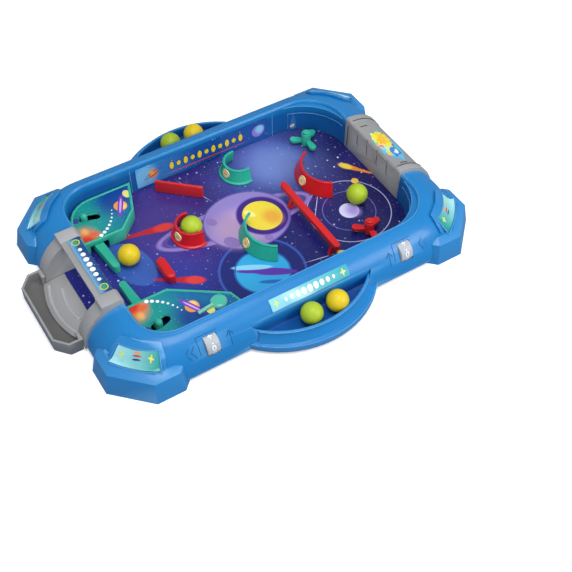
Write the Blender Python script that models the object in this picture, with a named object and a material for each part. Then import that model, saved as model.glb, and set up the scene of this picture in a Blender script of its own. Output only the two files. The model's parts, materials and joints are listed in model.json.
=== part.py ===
"""Tabletop pinball game: a blue case with a printed playfield, two hand-moved flippers, obstacles and balls.

Metres, +Z up. X runs across the board and +Y away from the player. The world origin is on the table under
the middle of the object's outline. Every piece hangs on an empty at the middle of the case, so the places
below are measured from there.
"""

import math

import bmesh
import bpy
from mathutils import Matrix, Vector

# Fits, shared by every piece
GAP = 0.0003
RUNNING_GAP = 0.0005
OVERRUN = 0.006
PRINT_THICKNESS = 0.0005

# The inner field: half sizes at the floor, and the level that balls roll on
FIELD_X = 0.0930
FIELD_Y = 0.1414
FIELD_LEVEL = 0.0088
CARD_THICKNESS = 0.0006
CASE_SKIN = 0.0022

# The rim: a quarter ellipse from its crest down to its foot
RIM_FOOT = 0.0035
RIM_RISE = 0.0360
RIM_SIDE_RUN = 0.0256
RIM_END_RUN = 0.0374
WALL_LEAN = 0.0010
CREST_INSET = 0.0012
CREST_DROP = 0.0020
NEAR_CORNER = 0.0280
FAR_CORNER = 0.0365
OUTER_CORNER = 0.0600
DEFLECTOR_CORNER = 0.0480
DEFLECTOR_DROP = 0.0030

# The corner feet
FOOT_PROUD_X = 0.0056
FOOT_PROUD_Y = 0.0058
FOOT_CHAMFER = 0.0311
FOOT_LENGTH_X = 0.0580
FOOT_LENGTH_Y = 0.0572
FOOT_SLANT = 0.0075
FOOT_SIDE = 0.0210
FOOT_TOP = 0.0245
FOOT_DRAFT = 0.0040
FOOT_LEDGE = 0.0070
PANEL_THICKNESS = 0.0025
PANEL_LENGTH = 0.0345
PANEL_WAVE = 0.0020
PANEL_DEPTH = 0.0225
CORNER_LABEL_LENGTH = 0.0386
CORNER_LABEL_INSET = 0.0085
CORNER_LABEL_DEPTH = 0.0140
CORNER_LABEL_BOW = 0.0028

# The grey bumper over the far end of the rim
BUMPER_X = 0.0441
BUMPER_RISE = 0.0388
BUMPER_RUN = 0.0372
BUMPER_FLAT = 0.0030
BUMPER_SKIN = 0.0024
BUMPER_FLANGE = 0.0075
BUMPER_FLANGE_STEP = 0.0010
BUMPER_GROOVE_WIDTH = 0.0016
BUMPER_GROOVE_DEPTH = 0.0008
BUMPER_GROOVE_LOW = 0.0240
BUMPER_GROOVE_SHARES = (-0.66, -0.22, 0.22, 0.66)
BUMPER_LABEL_HALF = 0.0205
BUMPER_LABEL_SHIFT = 0.0030
BUMPER_LABEL_LENGTH = 0.0180

# The outlet: arch, chute and ball tray
OUTLET_X = 0.0345
CHEEK_WIDTH = 0.0135
ARCH_FACE = 0.0011
ARCH_TOP = 0.0452
ARCH_RUN = 0.0405
ARCH_RISE = 0.0415
ARCH_CHAMFER = 0.0027
CROSSBAR_DEPTH = 0.0171
CROSSBAR_THICKNESS = 0.0028
ARCH_LABEL_DEPTH = 0.0108
TONGUE_LENGTH = 0.0236
CHUTE_PROUD = 0.0116
CHUTE_ROUND = 0.0844
CHUTE_END = 0.0045
CHUTE_THICKNESS = 0.0018
TRAY_X = 0.0450
TRAY_FRONT_X = 0.0330
TRAY_PROUD = 0.0127
TRAY_CHAMFER = 0.0103
TRAY_WALL = 0.0023
TRAY_HEIGHT = 0.0140
TRAY_FLOOR = 0.0024
TRAY_TUCK = 0.0025

# The half-round trays on the long sides
SIDE_TRAY_PROUD = 0.0285
SIDE_TRAY_RADIUS = 0.0880
SIDE_TRAY_LEDGE = 0.0093
SIDE_TRAY_LIP_RADIUS = 0.0847
SIDE_TRAY_STEP = 0.0105
SIDE_TRAY_LIP = 0.0206
SIDE_TRAY_FLOOR = 0.0092
SIDE_TRAY_WALL = 0.0022
SIDE_TRAY_TUCK = 0.0083
SIDE_TRAY_BACK_TOP = 0.0265
SIDE_LABEL_HALF = 0.0390
SIDE_LABEL_IN = 0.0120
SIDE_LABEL_OUT = 0.0199

# The label on the inner wall of the far long side
WALL_LABEL_NEAR = -0.0635
WALL_LABEL_FAR = 0.0810
WALL_LABEL_LOW = 0.0110
WALL_LABEL_HIGH = 0.0340
WALL_HOLE_Y = 0.1097
WALL_HOLE_RADIUS = 0.0030

# The score wheels in the near long side
WHEEL_Y = 0.0975
WHEEL_RADIUS = 0.0105
WHEEL_WIDTH = 0.0120
WHEEL_PROUD = 0.0030
WHEEL_SLOPE_ANGLE = 30.8
AXLE_RADIUS = 0.0015
BRACKET_THICKNESS = 0.0016
BRACKET_BASE = 0.0140

# The flippers, drawn for the right side with the arm level and pointing at the other one
PIVOT_X = 0.0480
PIVOT_BACK = 0.0144
FLIPPER_LENGTH = 0.0400
FLIPPER_ROOT = 0.0045
FLIPPER_TIP = 0.0033
FLIPPER_LIFT = 0.0007
FLIPPER_TOP = 0.0180
HUB_RADIUS = 0.0048
PIN_RADIUS = 0.0020
KNOB_ARM = 0.0235
KNOB_RADIUS = 0.0033
KNOB_HEIGHT = 0.0048
KNOB_DOME_SHARES = ((0.0, 1.0), (0.5, 0.98), (0.78, 0.8), (1.0, 0.42))
KNOB_LEAD_ANGLE = 4.0
LEVER_HALF = 0.0026
LEVER_DROP = 0.0060
LEFT_REST_ANGLE = -4.0
RIGHT_REST_ANGLE = 3.0
FLIPPER_RAISED_ANGLE = -4.5
FLIPPER_DROPPED_ANGLE = 22.5

# The flipper covers
COVER_TOP = 0.0240
COVER_WALL = 0.0018
COVER_PLATE = 0.0020
COVER_BORDER = 0.0022
COVER_RECESS = 0.0009
COVER_WINDOW_NEAR = 0.0078
COVER_WINDOW_FAR = 0.0098
COVER_ROUND = 0.0080
LEFT_COVER_SHARES = ((0.446, 0.725), (0.644, 0.587), (1.0, 0.503))
RIGHT_COVER_SHARES = ((0.438, 0.719), (0.784, 0.395), (1.0, 0.357))

# Cups and arc walls: a band round part of a circle that leans inwards, with a foot flange on the cups
WALL_HEIGHT = 0.0149
BAND = 0.0020
CUP_FOOT_RADIUS = 0.0172
CUP_TOP_RADIUS = 0.0150
CUP_FLANGE = 0.0022
CUP_FLANGE_HEIGHT = 0.0018
TEAL_CUP_ANGLES = (171.0, 375.0)
RED_CUP_ANGLES = (169.0, 378.0)
ARC_FOOT_RADIUS = 0.0333
ARC_TOP_RADIUS = 0.0277
TEAL_ARC_ANGLES = (207.0, 334.0)
RED_ARC_ANGLES = (203.0, 334.0)
TEAL_CUP_SHARES = (-0.697, 0.223)
RED_CUP_SHARES = (-0.175, -0.327)
TEAL_ARC_SHARES = (0.256, 0.127)
RED_ARC_SHARES = (-0.185, 0.737)
CUP_BADGE_ANGLE = 281.0
ARC_BADGE_ANGLE = 272.0
BADGE_RADIUS = 0.0046
BADGE_THICKNESS = 0.0008

# The other obstacles
PLATE_LENGTH = 0.0465
PLATE_THICKNESS = 0.0025
PLATE_HEIGHT = 0.0138
PLATE_ANGLE = 47.8
PLATE_SHARES = (-0.726, -0.226)
BAR_LENGTH = 0.0960
BAR_HALF = 0.0031
BAR_DEPTH = 0.0050
BAR_TOP = 0.0230
BAR_LEG_HALF = 0.0018
BAR_LEG_SHARES = (0.22, 0.93)
BAR_LEG_SPREAD = 0.0035
BAR_SHARES = (0.309, 0.371)
CAPSULE_LENGTH = 0.0270
CAPSULE_RADIUS = 0.0045
CAPSULE_HEIGHT = 0.0100
CAPSULE_SHOULDER_SHARE = 0.8
CAPSULE_CROWN_SHARE = 0.3
CAPSULE_SHARES = (0.150, -0.626)
LOBE_COUNT = 3
LOBE_REACH = 0.0160
LOBE_HALF = 0.0036
LOBE_TIP_ANGLE = 110.0
LOBE_TOP = 0.0158
LOBE_THICKNESS = 0.0032
LOBE_WAIST = 0.0021
SPINNER_HUB = 0.0047
SPINNER_ROOT = 0.0040
SPINNER_TOP = 0.0234
SPINNER_PIN = 0.0014
SPINNER_PIN_HEAD = 0.0036
SPINNER_PIN_HEAD_HEIGHT = 0.0012
TEAL_SPINNER_SHARES = (-0.694, 0.769)
RED_SPINNER_SHARES = (0.715, 0.661)
TEAL_SPINNER_ANGLE = -1.0
RED_SPINNER_ANGLE = -6.0

# The balls, at rest in the photograph's places
BALL_RADIUS = 0.0100
FIELD_BALL_SHARES = {
    "ball_yellow_field": (-0.159, -0.778),
    "ball_green_cup": RED_CUP_SHARES,
    "ball_green_field": (0.299, 0.752),
}
SIDE_TRAY_BALL_IN = 0.0243
NEAR_SIDE_BALL_Y = {"ball_green_near_side": -0.0072, "ball_yellow_near_side": 0.0190}
FAR_SIDE_BALL_Y = {"ball_green_far_side": -0.0105, "ball_yellow_far_side": 0.0152}

# Facets: steps in a quarter turn of a corner, in the rim's curve and round a turned piece
CORNER_STEPS = 6
RIM_STEPS = 8
ROUND_STEPS = 20
PIN_STEPS = 12
SMOOTH_ANGLE = 32.0
PARALLEL_SHARE = 0.0001

# Levels and places that follow from the sizes above
RIM_OUT_X = FIELD_X + WALL_LEAN + CREST_INSET + RIM_SIDE_RUN
RIM_OUT_Y = FIELD_Y + WALL_LEAN + CREST_INSET + RIM_END_RUN
FOOT_REACH_X = RIM_OUT_X + FOOT_PROUD_X
FOOT_REACH_Y = RIM_OUT_Y + FOOT_PROUD_Y
FOOT_START_X = FOOT_REACH_X - FOOT_LENGTH_X
FOOT_START_Y = FOOT_REACH_Y - FOOT_LENGTH_Y
SIDE_TRAY_REACH = RIM_OUT_X + SIDE_TRAY_PROUD
SIDE_TRAY_LIP_REACH = SIDE_TRAY_REACH - SIDE_TRAY_LEDGE
SIDE_TRAY_BACK = RIM_OUT_X - SIDE_TRAY_TUCK
CHUTE_REACH = RIM_OUT_Y + CHUTE_PROUD
TRAY_REACH = CHUTE_REACH + TRAY_PROUD
CASE_Y = (TRAY_REACH - FOOT_REACH_Y) / 2
FLOOR_TOP = FIELD_LEVEL - CARD_THICKNESS - GAP
FLOOR_UNDER = FLOOR_TOP - CASE_SKIN
PIECE_FOOT = FIELD_LEVEL + GAP
RIM_IN_X = FIELD_X + WALL_LEAN
RIM_IN_Y = FIELD_Y + WALL_LEAN
RIM_TOP = RIM_FOOT + RIM_RISE
DEFLECTOR_TOP = RIM_TOP - DEFLECTOR_DROP
ARCH_IN = FIELD_Y + ARCH_FACE
TONGUE_END = FIELD_Y + TONGUE_LENGTH
CHEEK_OUT = OUTLET_X + CHEEK_WIDTH
ARCH_OUT = ARCH_IN + ARCH_RUN
TRAY_BACK = ARCH_OUT + GAP
PIVOT_Y = -(FIELD_Y - PIVOT_BACK)
COVER_FACE = COVER_TOP - COVER_RECESS
COVER_UNDER = COVER_FACE - COVER_PLATE

BLUE = ("#2E86D6", 0.34)
TEAL = ("#2CB698", 0.36)
RED = ("#D2141A", 0.34)
GREY = ("#A3A5A8", 0.42)
DARK_GREY = ("#77797C", 0.45)
CARD_BLUE = ("#2C2A8C", 0.30)
LABEL_CYAN = ("#5FCDD2", 0.30)
BADGE_YELLOW = ("#F2D568", 0.40)
BALL_GREEN = ("#A5C92B", 0.38)
BALL_YELLOW = ("#EBC81E", 0.38)
STEEL = ("#C8CACD", 0.30)


# Scene helpers


def clear_scene():
    for obj in list(bpy.data.objects):
        bpy.data.objects.remove(obj, do_unlink=True)


def linear(channel):
    return channel / 12.92 if channel <= 0.04045 else ((channel + 0.055) / 1.055) ** 2.4


def plain_material(name, look, metallic=0.0):
    colour, roughness = look
    channels = [linear(int(colour[i : i + 2], 16) / 255) for i in (1, 3, 5)]
    result = bpy.data.materials.new(name)
    result.use_nodes = True
    shader = result.node_tree.nodes["Principled BSDF"]
    shader.inputs["Base Color"].default_value = (*channels, 1.0)
    shader.inputs["Roughness"].default_value = roughness
    shader.inputs["Metallic"].default_value = metallic
    return result


def make_case_centre():
    centre = bpy.data.objects.new("case_centre", None)
    centre.location = (0, CASE_Y, 0)
    bpy.context.scene.collection.objects.link(centre)
    return centre


def add_object(name, bm, at=(0, 0, 0), turn=0.0):
    """An object under the case centre, from a mesh drawn about its own origin."""
    bmesh.ops.recalc_face_normals(bm, faces=bm.faces)
    mesh = bpy.data.meshes.new(name)
    bm.to_mesh(mesh)
    bm.free()
    obj = bpy.data.objects.new(name, mesh)
    bpy.context.scene.collection.objects.link(obj)
    obj.parent = bpy.data.objects["case_centre"]
    obj.location = at
    obj.rotation_euler = (0, 0, math.radians(turn))
    return obj


def add_piece(name, bm, look, at=(0, 0, 0), turn=0.0, metallic=0.0):
    obj = add_object(name, bm, at, turn)
    obj.data.materials.append(plain_material(name + "_finish", look, metallic))
    obj.data.shade_smooth()
    obj.data.set_sharp_from_angle(angle=math.radians(SMOOTH_ANGLE))
    return obj


def helper(name, bm, at=(0, 0, 0), turn=0.0):
    obj = add_object(name, bm, at, turn)
    obj.hide_render = True
    obj.display_type = "WIRE"
    return obj


def combine(obj, other, operation):
    modifier = obj.modifiers.new(operation.title() + " " + other.name, "BOOLEAN")
    modifier.operation = operation
    modifier.object = other


def cut(obj, other):
    combine(obj, other, "DIFFERENCE")


def unite(obj, other):
    combine(obj, other, "UNION")


# Outlines


def arc(centre, radius, start, end, steps):
    """Points along an arc, with both ends, from angles in degrees."""
    points = []
    for step in range(steps + 1):
        angle = math.radians(start + (end - start) * step / steps)
        points.append((centre[0] + radius * math.cos(angle), centre[1] + radius * math.sin(angle)))
    return points


def polar(radius, angle):
    return arc((0, 0), radius, angle, angle, 1)[0]


def circle(centre, radius, steps=ROUND_STEPS):
    return arc(centre, radius, 0, 360, steps)[:-1]


def box_outline(low_x, high_x, low_y, high_y):
    return [(low_x, low_y), (high_x, low_y), (high_x, high_y), (low_x, high_y)]


def mirrored(outline, side):
    """The outline for the side given as 1 or -1 along X, still anticlockwise."""
    return list(outline) if side > 0 else [(-x, y) for x, y in reversed(outline)]


def inset(outline, distance):
    """A convex anticlockwise outline moved inwards by the distance."""
    lines = []
    for index, point in enumerate(outline):
        start = Vector(point)
        along = (Vector(outline[(index + 1) % len(outline)]) - start).normalized()
        lines.append((start + Vector((-along.y, along.x)) * distance, along))
    moved = []
    for index, (here, along) in enumerate(lines):
        before, back_along = lines[index - 1]
        cross = back_along.cross(along)
        if abs(cross) < PARALLEL_SHARE:
            moved.append(tuple(here))
        else:
            moved.append(tuple(before + back_along * ((here - before).cross(along) / cross)))
    return moved


def rounded_corner(before, corner, after, radius, steps=CORNER_STEPS):
    """The points of an arc that rounds a corner."""
    corner = Vector(corner)
    back = (Vector(before) - corner).normalized()
    ahead = (Vector(after) - corner).normalized()
    half = back.angle(ahead) / 2
    centre = corner + (back + ahead).normalized() * (radius / math.sin(half))
    reach = radius / math.tan(half)
    first = corner + back * reach - centre
    last = corner + ahead * reach - centre
    start = math.degrees(math.atan2(first.y, first.x))
    sweep = math.degrees(math.atan2(first.cross(last), first.dot(last)))
    return arc(centre, radius, start, start + sweep, steps)


def band_outline(centre, inner, outer, angles, steps):
    """A band round part of a circle."""
    start, end = angles
    return arc(centre, outer, start, end, steps) + arc(centre, inner, end, start, steps)


def slot_outline(centre, radius, half_width, angles, steps):
    """A curved slot with round ends, about a centre."""
    start, end = angles
    ends = [arc(centre, radius, angle, angle, 1)[0] for angle in angles]
    return (
        arc(centre, radius + half_width, start, end, steps)
        + arc(ends[1], half_width, end, end + 180, steps)[1:-1]
        + arc(centre, radius - half_width, end, start, steps)
        + arc(ends[0], half_width, start + 180, start + 360, steps)[1:-1]
    )


# Solids


def loft(bm, rings):
    """One closed solid through rings of equally many points, with flat ends."""
    rows = [[bm.verts.new(point) for point in ring] for ring in rings]
    for lower, upper in zip(rows, rows[1:]):
        for index in range(len(lower)):
            after = (index + 1) % len(lower)
            bm.faces.new((lower[index], lower[after], upper[after], upper[index]))
    bm.faces.new(list(reversed(rows[0])))
    bm.faces.new(rows[-1])


def at_height(outline, z):
    return [(x, y, z) for x, y in outline]


def prism(bm, outline, low, high, axis="Z"):
    """An outline drawn out along an axis. Along X the outline is in Y and Z, along Y in X and Z."""
    places = {
        "X": lambda u, v, w: (w, u, v),
        "Y": lambda u, v, w: (u, w, v),
        "Z": lambda u, v, w: (u, v, w),
    }
    place = places[axis]
    loft(bm, [[place(u, v, w) for u, v in outline] for w in (low, high)])


def box(bm, x, y, z):
    prism(bm, box_outline(*x, *y), *z)


def new_prism(outline, low, high, axis="Z"):
    bm = bmesh.new()
    prism(bm, outline, low, high, axis)
    return bm


# The case


def case_ring(half_x, half_y, far_radius, near_radius, z):
    """A rounded rectangle, anticlockwise from the far corner on the +X side."""
    corners = ((1, 1, far_radius), (-1, 1, far_radius), (-1, -1, near_radius), (1, -1, near_radius))
    ring = []
    for turn, (side_x, side_y, radius) in enumerate(corners):
        centre = (side_x * (half_x - radius), side_y * (half_y - radius))
        ring += arc(centre, radius, turn * 90, turn * 90 + 90, CORNER_STEPS)
    return at_height(ring, z)


def rim_ring(angle, grow=0.0, drop=0.0):
    """The rim at an angle from its crest at 0 to its foot at 90, moved outwards by grow."""
    out = math.sin(math.radians(angle))
    up = math.cos(math.radians(angle))
    return case_ring(
        RIM_IN_X + CREST_INSET + (RIM_SIDE_RUN + grow) * out,
        RIM_IN_Y + CREST_INSET + (RIM_END_RUN + grow) * out,
        FAR_CORNER + CREST_INSET + (OUTER_CORNER - FAR_CORNER + grow) * out,
        NEAR_CORNER + CREST_INSET + (OUTER_CORNER - NEAR_CORNER + grow) * out,
        RIM_FOOT + (RIM_RISE + grow) * up - drop,
    )


def rim_angles(first=0.0):
    return [first + (90 - first) * step / RIM_STEPS for step in range(RIM_STEPS + 1)]


def rim_solid(name, grow):
    """The space inside the rim's outer surface, moved outwards by grow, for cutting what fits it."""
    bm = bmesh.new()
    rings = [rim_ring(90, grow, abs(grow))]
    rings += [rim_ring(angle, grow) for angle in reversed(rim_angles())]
    loft(bm, rings)
    return helper(name, bm)


def wall_ring(z, corner, outwards=0.0):
    """The inner wall, which leans out a little with its height."""
    lean = WALL_LEAN * (z - FLOOR_TOP) / (DEFLECTOR_TOP - FLOOR_TOP)
    radii = (corner + outwards, NEAR_CORNER + outwards)
    return case_ring(FIELD_X + lean + outwards, FIELD_Y + lean + outwards, *radii, z)


def score_wheel_centre():
    """The wheel's axis sits below the rim's surface along the slope's own normal."""
    slope = math.radians(WHEEL_SLOPE_ANGLE)
    side = RIM_SIDE_RUN
    angle = math.atan2(side * math.cos(slope), RIM_RISE * math.sin(slope))
    depth = WHEEL_RADIUS - WHEEL_PROUD
    x = RIM_IN_X + CREST_INSET + side * math.sin(angle) - depth * math.cos(slope)
    z = RIM_FOOT + RIM_RISE * math.cos(angle) - depth * math.sin(slope)
    return x, z


def side_tray_circles():
    outer = (SIDE_TRAY_REACH - SIDE_TRAY_RADIUS, 0)
    lip = (SIDE_TRAY_LIP_REACH - SIDE_TRAY_LIP_RADIUS, 0)
    return outer, lip


def segment_outline(centre, radius, chord_x):
    """The part of a disc beyond a chord at x, anticlockwise."""
    half = math.degrees(math.acos((chord_x - centre[0]) / radius))
    return arc(centre, radius, -half, half, ROUND_STEPS)


def make_case():
    bm = bmesh.new()
    rings = [wall_ring(FLOOR_TOP, DEFLECTOR_CORNER), wall_ring(DEFLECTOR_TOP, DEFLECTOR_CORNER)]
    rings.append(wall_ring(DEFLECTOR_TOP + GAP, FAR_CORNER))
    rings.append(wall_ring(RIM_TOP - CREST_DROP, FAR_CORNER))
    rings += [rim_ring(angle) for angle in rim_angles()]
    rings.append(rim_ring(90, -CASE_SKIN))
    roof_angle = math.degrees(math.asin(CASE_SKIN / RIM_SIDE_RUN))
    rings += [rim_ring(angle, -CASE_SKIN) for angle in reversed(rim_angles(roof_angle)[:-1])]
    shoulder = DEFLECTOR_TOP - CASE_SKIN
    rings.append(wall_ring(shoulder, FAR_CORNER, CASE_SKIN))
    rings.append(wall_ring(shoulder - GAP, DEFLECTOR_CORNER, CASE_SKIN))
    rings.append(wall_ring(FLOOR_UNDER, DEFLECTOR_CORNER, CASE_SKIN))
    loft(bm, rings)
    case = add_piece("main_case", bm, BLUE)

    cut(case, helper("cut_outlet_and_bumper", end_gaps()))
    for side in (-1, 1):
        cut(case, helper(f"cut_side_tray_{side_name(side)}", side_tray_seat(side)))
    slab = bmesh.new()
    slab_half = CHEEK_OUT + GAP / 2
    slab_z = (FLOOR_UNDER + GAP / 3, FLOOR_TOP - GAP / 3)
    box(slab, (-slab_half, slab_half), (-TONGUE_END, OVERRUN - FIELD_Y), slab_z)
    unite(case, helper("outlet_shelf", slab))

    inner = rim_solid("rim_inside", -CASE_SKIN / 2)
    for name, y in wheel_places().items():
        brackets = helper(f"brackets_{name}", wheel_brackets(y))
        combine(brackets, inner, "INTERSECT")
        unite(case, brackets)
        wheel_x, wheel_z = score_wheel_centre()
        well = (WHEEL_WIDTH / 2 + RUNNING_GAP, WHEEL_RADIUS + RUNNING_GAP)
        window = new_prism(circle((wheel_x, wheel_z), well[1]), y - well[0], y + well[0], "Y")
        cut(case, helper(f"window_{name}", window))
        reach = WHEEL_WIDTH / 2 + BRACKET_THICKNESS + OVERRUN
        bore = circle((wheel_x, wheel_z), AXLE_RADIUS + GAP, PIN_STEPS)
        cut(case, helper(f"bore_{name}", new_prism(bore, y - reach, y + reach, "Y")))

    hole = circle((WALL_HOLE_Y, PIECE_FOOT + WALL_HOLE_RADIUS + GAP), WALL_HOLE_RADIUS, PIN_STEPS)
    cut(case, helper("wall_hole", new_prism(hole, -FIELD_X - OVERRUN, OVERRUN - FIELD_X, "X")))


def end_gaps():
    """The rim is left out where the outlet arch and the far bumper take its place."""
    bm = bmesh.new()
    high = RIM_TOP + OVERRUN
    outlet = CHEEK_OUT + GAP
    box(bm, (-outlet, outlet), (-FOOT_REACH_Y, ARCH_FACE - FIELD_Y), (-OVERRUN, high))
    bumper = BUMPER_X + GAP
    box(bm, (-bumper, bumper), (FIELD_Y - 2 * GAP, FOOT_REACH_Y), (-OVERRUN, high))
    return bm


def side_tray_seat(side):
    """The space that a side tray and its back wall take out of the rim."""
    outer, lip = side_tray_circles()
    chord = SIDE_TRAY_BACK - GAP
    levels = (-OVERRUN, SIDE_TRAY_STEP + GAP, SIDE_TRAY_BACK_TOP + GAP)
    wide = mirrored(segment_outline(outer, SIDE_TRAY_RADIUS + GAP, chord), side)
    narrow = mirrored(segment_outline(lip, SIDE_TRAY_LIP_RADIUS + GAP, chord), side)
    bm = bmesh.new()
    loft(
        bm,
        [
            at_height(wide, levels[0]),
            at_height(wide, levels[1]),
            at_height(narrow, levels[1] + GAP),
            at_height(narrow, levels[2]),
        ],
    )
    return bm


def wheel_places():
    return {"score_wheel_near": -WHEEL_Y, "score_wheel_far": WHEEL_Y}


def wheel_brackets(y):
    bm = bmesh.new()
    start = WHEEL_WIDTH / 2 + RUNNING_GAP
    for side in (-1, 1):
        faces = sorted((y + side * start, y + side * (start + BRACKET_THICKNESS)))
        x = (RIM_IN_X + GAP, RIM_IN_X + RIM_SIDE_RUN + OVERRUN)
        box(bm, x, faces, (BRACKET_BASE, RIM_TOP + OVERRUN))
    return bm


def make_card():
    half_x = FIELD_X - GAP
    half_y = FIELD_Y - GAP
    ring = case_ring(half_x, half_y, DEFLECTOR_CORNER - GAP, NEAR_CORNER - GAP, 0)
    outline = [(x, y) for x, y, _ in ring]
    tongue = OUTLET_X - GAP
    step = 3 * (CORNER_STEPS + 1)
    outline[step:step] = [
        (-tongue, -half_y),
        (-tongue, -TONGUE_END),
        (tongue, -TONGUE_END),
        (tongue, -half_y),
    ]
    bm = new_prism(outline, FIELD_LEVEL - CARD_THICKNESS, FIELD_LEVEL)
    add_piece("playfield_card", bm, CARD_BLUE)


# The corner feet and their labels


def side_name(side):
    return "right" if side > 0 else "left"


def end_name(end):
    return "far" if end > 0 else "near"


def to_corner(outline, side, end):
    """Turns an outline drawn for the far right corner to the corner given by two signs."""
    moved = [(side * x, end * y) for x, y in outline]
    return moved if side * end > 0 else list(reversed(moved))


def foot_outline():
    slant = FOOT_SLANT
    far_x = FOOT_REACH_X - slant
    far_y = FOOT_REACH_Y - slant
    start_x = FOOT_START_X - slant
    start_y = FOOT_START_Y - slant
    return [
        (far_x, start_y),
        (FOOT_REACH_X, FOOT_START_Y),
        (FOOT_REACH_X, FOOT_REACH_Y - FOOT_CHAMFER),
        (FOOT_REACH_X - FOOT_CHAMFER, FOOT_REACH_Y),
        (FOOT_START_X, FOOT_REACH_Y),
        (start_x, far_y),
        (start_x, far_y - FOOT_CHAMFER),
        (far_x - FOOT_CHAMFER, start_y),
    ]


def corner_point(along, back):
    """A point by the foot's chamfered side: along it from its middle, and back from it."""
    middle = Vector((FOOT_REACH_X - FOOT_CHAMFER / 2, FOOT_REACH_Y - FOOT_CHAMFER / 2))
    direction = Vector((-1, 1)).normalized()
    return tuple(middle + direction * along - Vector((1, 1)).normalized() * back)


def panel_outline():
    """The raised panel: a wavy inner edge, and an outer edge hidden in the foot."""
    half = PANEL_LENGTH / 2
    front = FOOT_DRAFT + FOOT_LEDGE
    back = front + PANEL_DEPTH
    return [
        corner_point(-half - PANEL_DEPTH / 2, front),
        corner_point(half + PANEL_DEPTH / 2, front),
        corner_point(half + PANEL_DEPTH / 4, back - PANEL_DEPTH / 3),
        corner_point(half, back),
        corner_point(0, back - PANEL_WAVE),
        corner_point(-half, back),
        corner_point(-half - PANEL_DEPTH / 4, back - PANEL_DEPTH / 3),
    ]


def corner_label_outline():
    half = CORNER_LABEL_LENGTH / 2
    front = FOOT_DRAFT + CORNER_LABEL_INSET
    back = front + CORNER_LABEL_DEPTH
    bow = CORNER_LABEL_BOW
    return [
        corner_point(-half - bow, front + bow),
        corner_point(0, front),
        corner_point(half + bow, front + bow),
        corner_point(half - bow, back),
        corner_point(0, back - bow),
        corner_point(bow - half, back),
    ]


def make_feet(skins):
    for side in (-1, 1):
        for end in (-1, 1):
            place = f"{end_name(end)}_{side_name(side)}"
            body = to_corner(foot_outline(), side, end)
            bm = bmesh.new()
            loft(
                bm,
                [
                    at_height(body, 0),
                    at_height(inset(body, FOOT_DRAFT), FOOT_SIDE),
                    at_height(inset(body, FOOT_DRAFT + FOOT_LEDGE), FOOT_TOP),
                ],
            )
            foot = add_piece(f"corner_foot_{place}", bm, BLUE)
            outline = to_corner(panel_outline(), side, end)
            panel = helper(f"panel_{place}", new_prism(outline, FOOT_SIDE - GAP, RIM_TOP + OVERRUN))
            combine(panel, skins["panel"], "INTERSECT")
            unite(foot, panel)
            cut(foot, skins["rim"])
            label = to_corner(corner_label_outline(), side, end)
            make_skin(f"corner_label_{place}", label, skins["panel_print"], skins["panel_seat"])


def make_skin(name, outline, over, under):
    """A label bent over the rim, between two copies of the rim's surface."""
    label = add_piece(name, new_prism(outline, FOOT_TOP + GAP, RIM_TOP + OVERRUN), LABEL_CYAN)
    combine(label, over, "INTERSECT")
    cut(label, under)


# The far bumper


def bumper_profile(grow):
    """The bumper's section in Y and Z, anticlockwise seen from +X."""
    start = FIELD_Y - GAP - min(grow, 0)
    centre = (FIELD_Y + BUMPER_FLAT, RIM_FOOT)
    outline = [(start, RIM_FOOT)]
    for step in range(RIM_STEPS + 1):
        angle = math.radians(90 * step / RIM_STEPS)
        y = centre[0] + (BUMPER_RUN + grow) * math.cos(angle)
        outline.append((y, centre[1] + (BUMPER_RISE + grow) * math.sin(angle)))
    outline.append((start + BUMPER_FLAT / 2, outline[-1][1]))
    outline.append((start, outline[-1][1] - BUMPER_FLAT / 2))
    return outline


def make_bumper():
    ends = BUMPER_X
    neck = ends - BUMPER_FLANGE
    step = BUMPER_FLANGE_STEP
    left = [(-ends, step), (-neck, step), (step - neck, 0)]
    right = [(-x, grow) for x, grow in reversed(left)]
    bm = bmesh.new()
    loft(bm, [[(x, y, z) for y, z in bumper_profile(grow)] for x, grow in left + right])
    bumper = add_piece("far_bumper", bm, GREY)
    hollow = [(y, z - (GAP if z > RIM_FOOT else OVERRUN)) for y, z in bumper_profile(-BUMPER_SKIN)]
    cut(bumper, helper("bumper_hollow", new_prism(hollow, BUMPER_SKIN - ends, ends - BUMPER_SKIN, "X")))
    grooves = bmesh.new()
    low = FIELD_Y - GAP - OVERRUN
    for share in BUMPER_GROOVE_SHARES:
        x = share * neck
        half = BUMPER_GROOVE_WIDTH / 2
        face = FIELD_Y - GAP + BUMPER_GROOVE_DEPTH
        box(grooves, (x - half, x + half), (low, face), (BUMPER_GROOVE_LOW, ARCH_TOP))
    cut(bumper, helper("bumper_grooves", grooves))
    make_bumper_label()


def make_bumper_label():
    near = BUMPER_LABEL_SHIFT - BUMPER_LABEL_HALF
    far = BUMPER_LABEL_SHIFT + BUMPER_LABEL_HALF
    start = FIELD_Y + BUMPER_FLAT
    sheets = []
    for name, grow in (("over", GAP + PRINT_THICKNESS), ("under", GAP)):
        prism_mesh = new_prism(bumper_profile(grow), near - OVERRUN, far + OVERRUN, "X")
        sheets.append(helper(f"bumper_print_{name}", prism_mesh))
    outline = box_outline(near, far, start, start + BUMPER_LABEL_LENGTH)
    sheet = new_prism(outline, RIM_FOOT + OVERRUN, ARCH_TOP + OVERRUN)
    label = add_piece("bumper_label", sheet, LABEL_CYAN)
    combine(label, sheets[0], "INTERSECT")
    cut(label, sheets[1])


# The outlet


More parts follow.
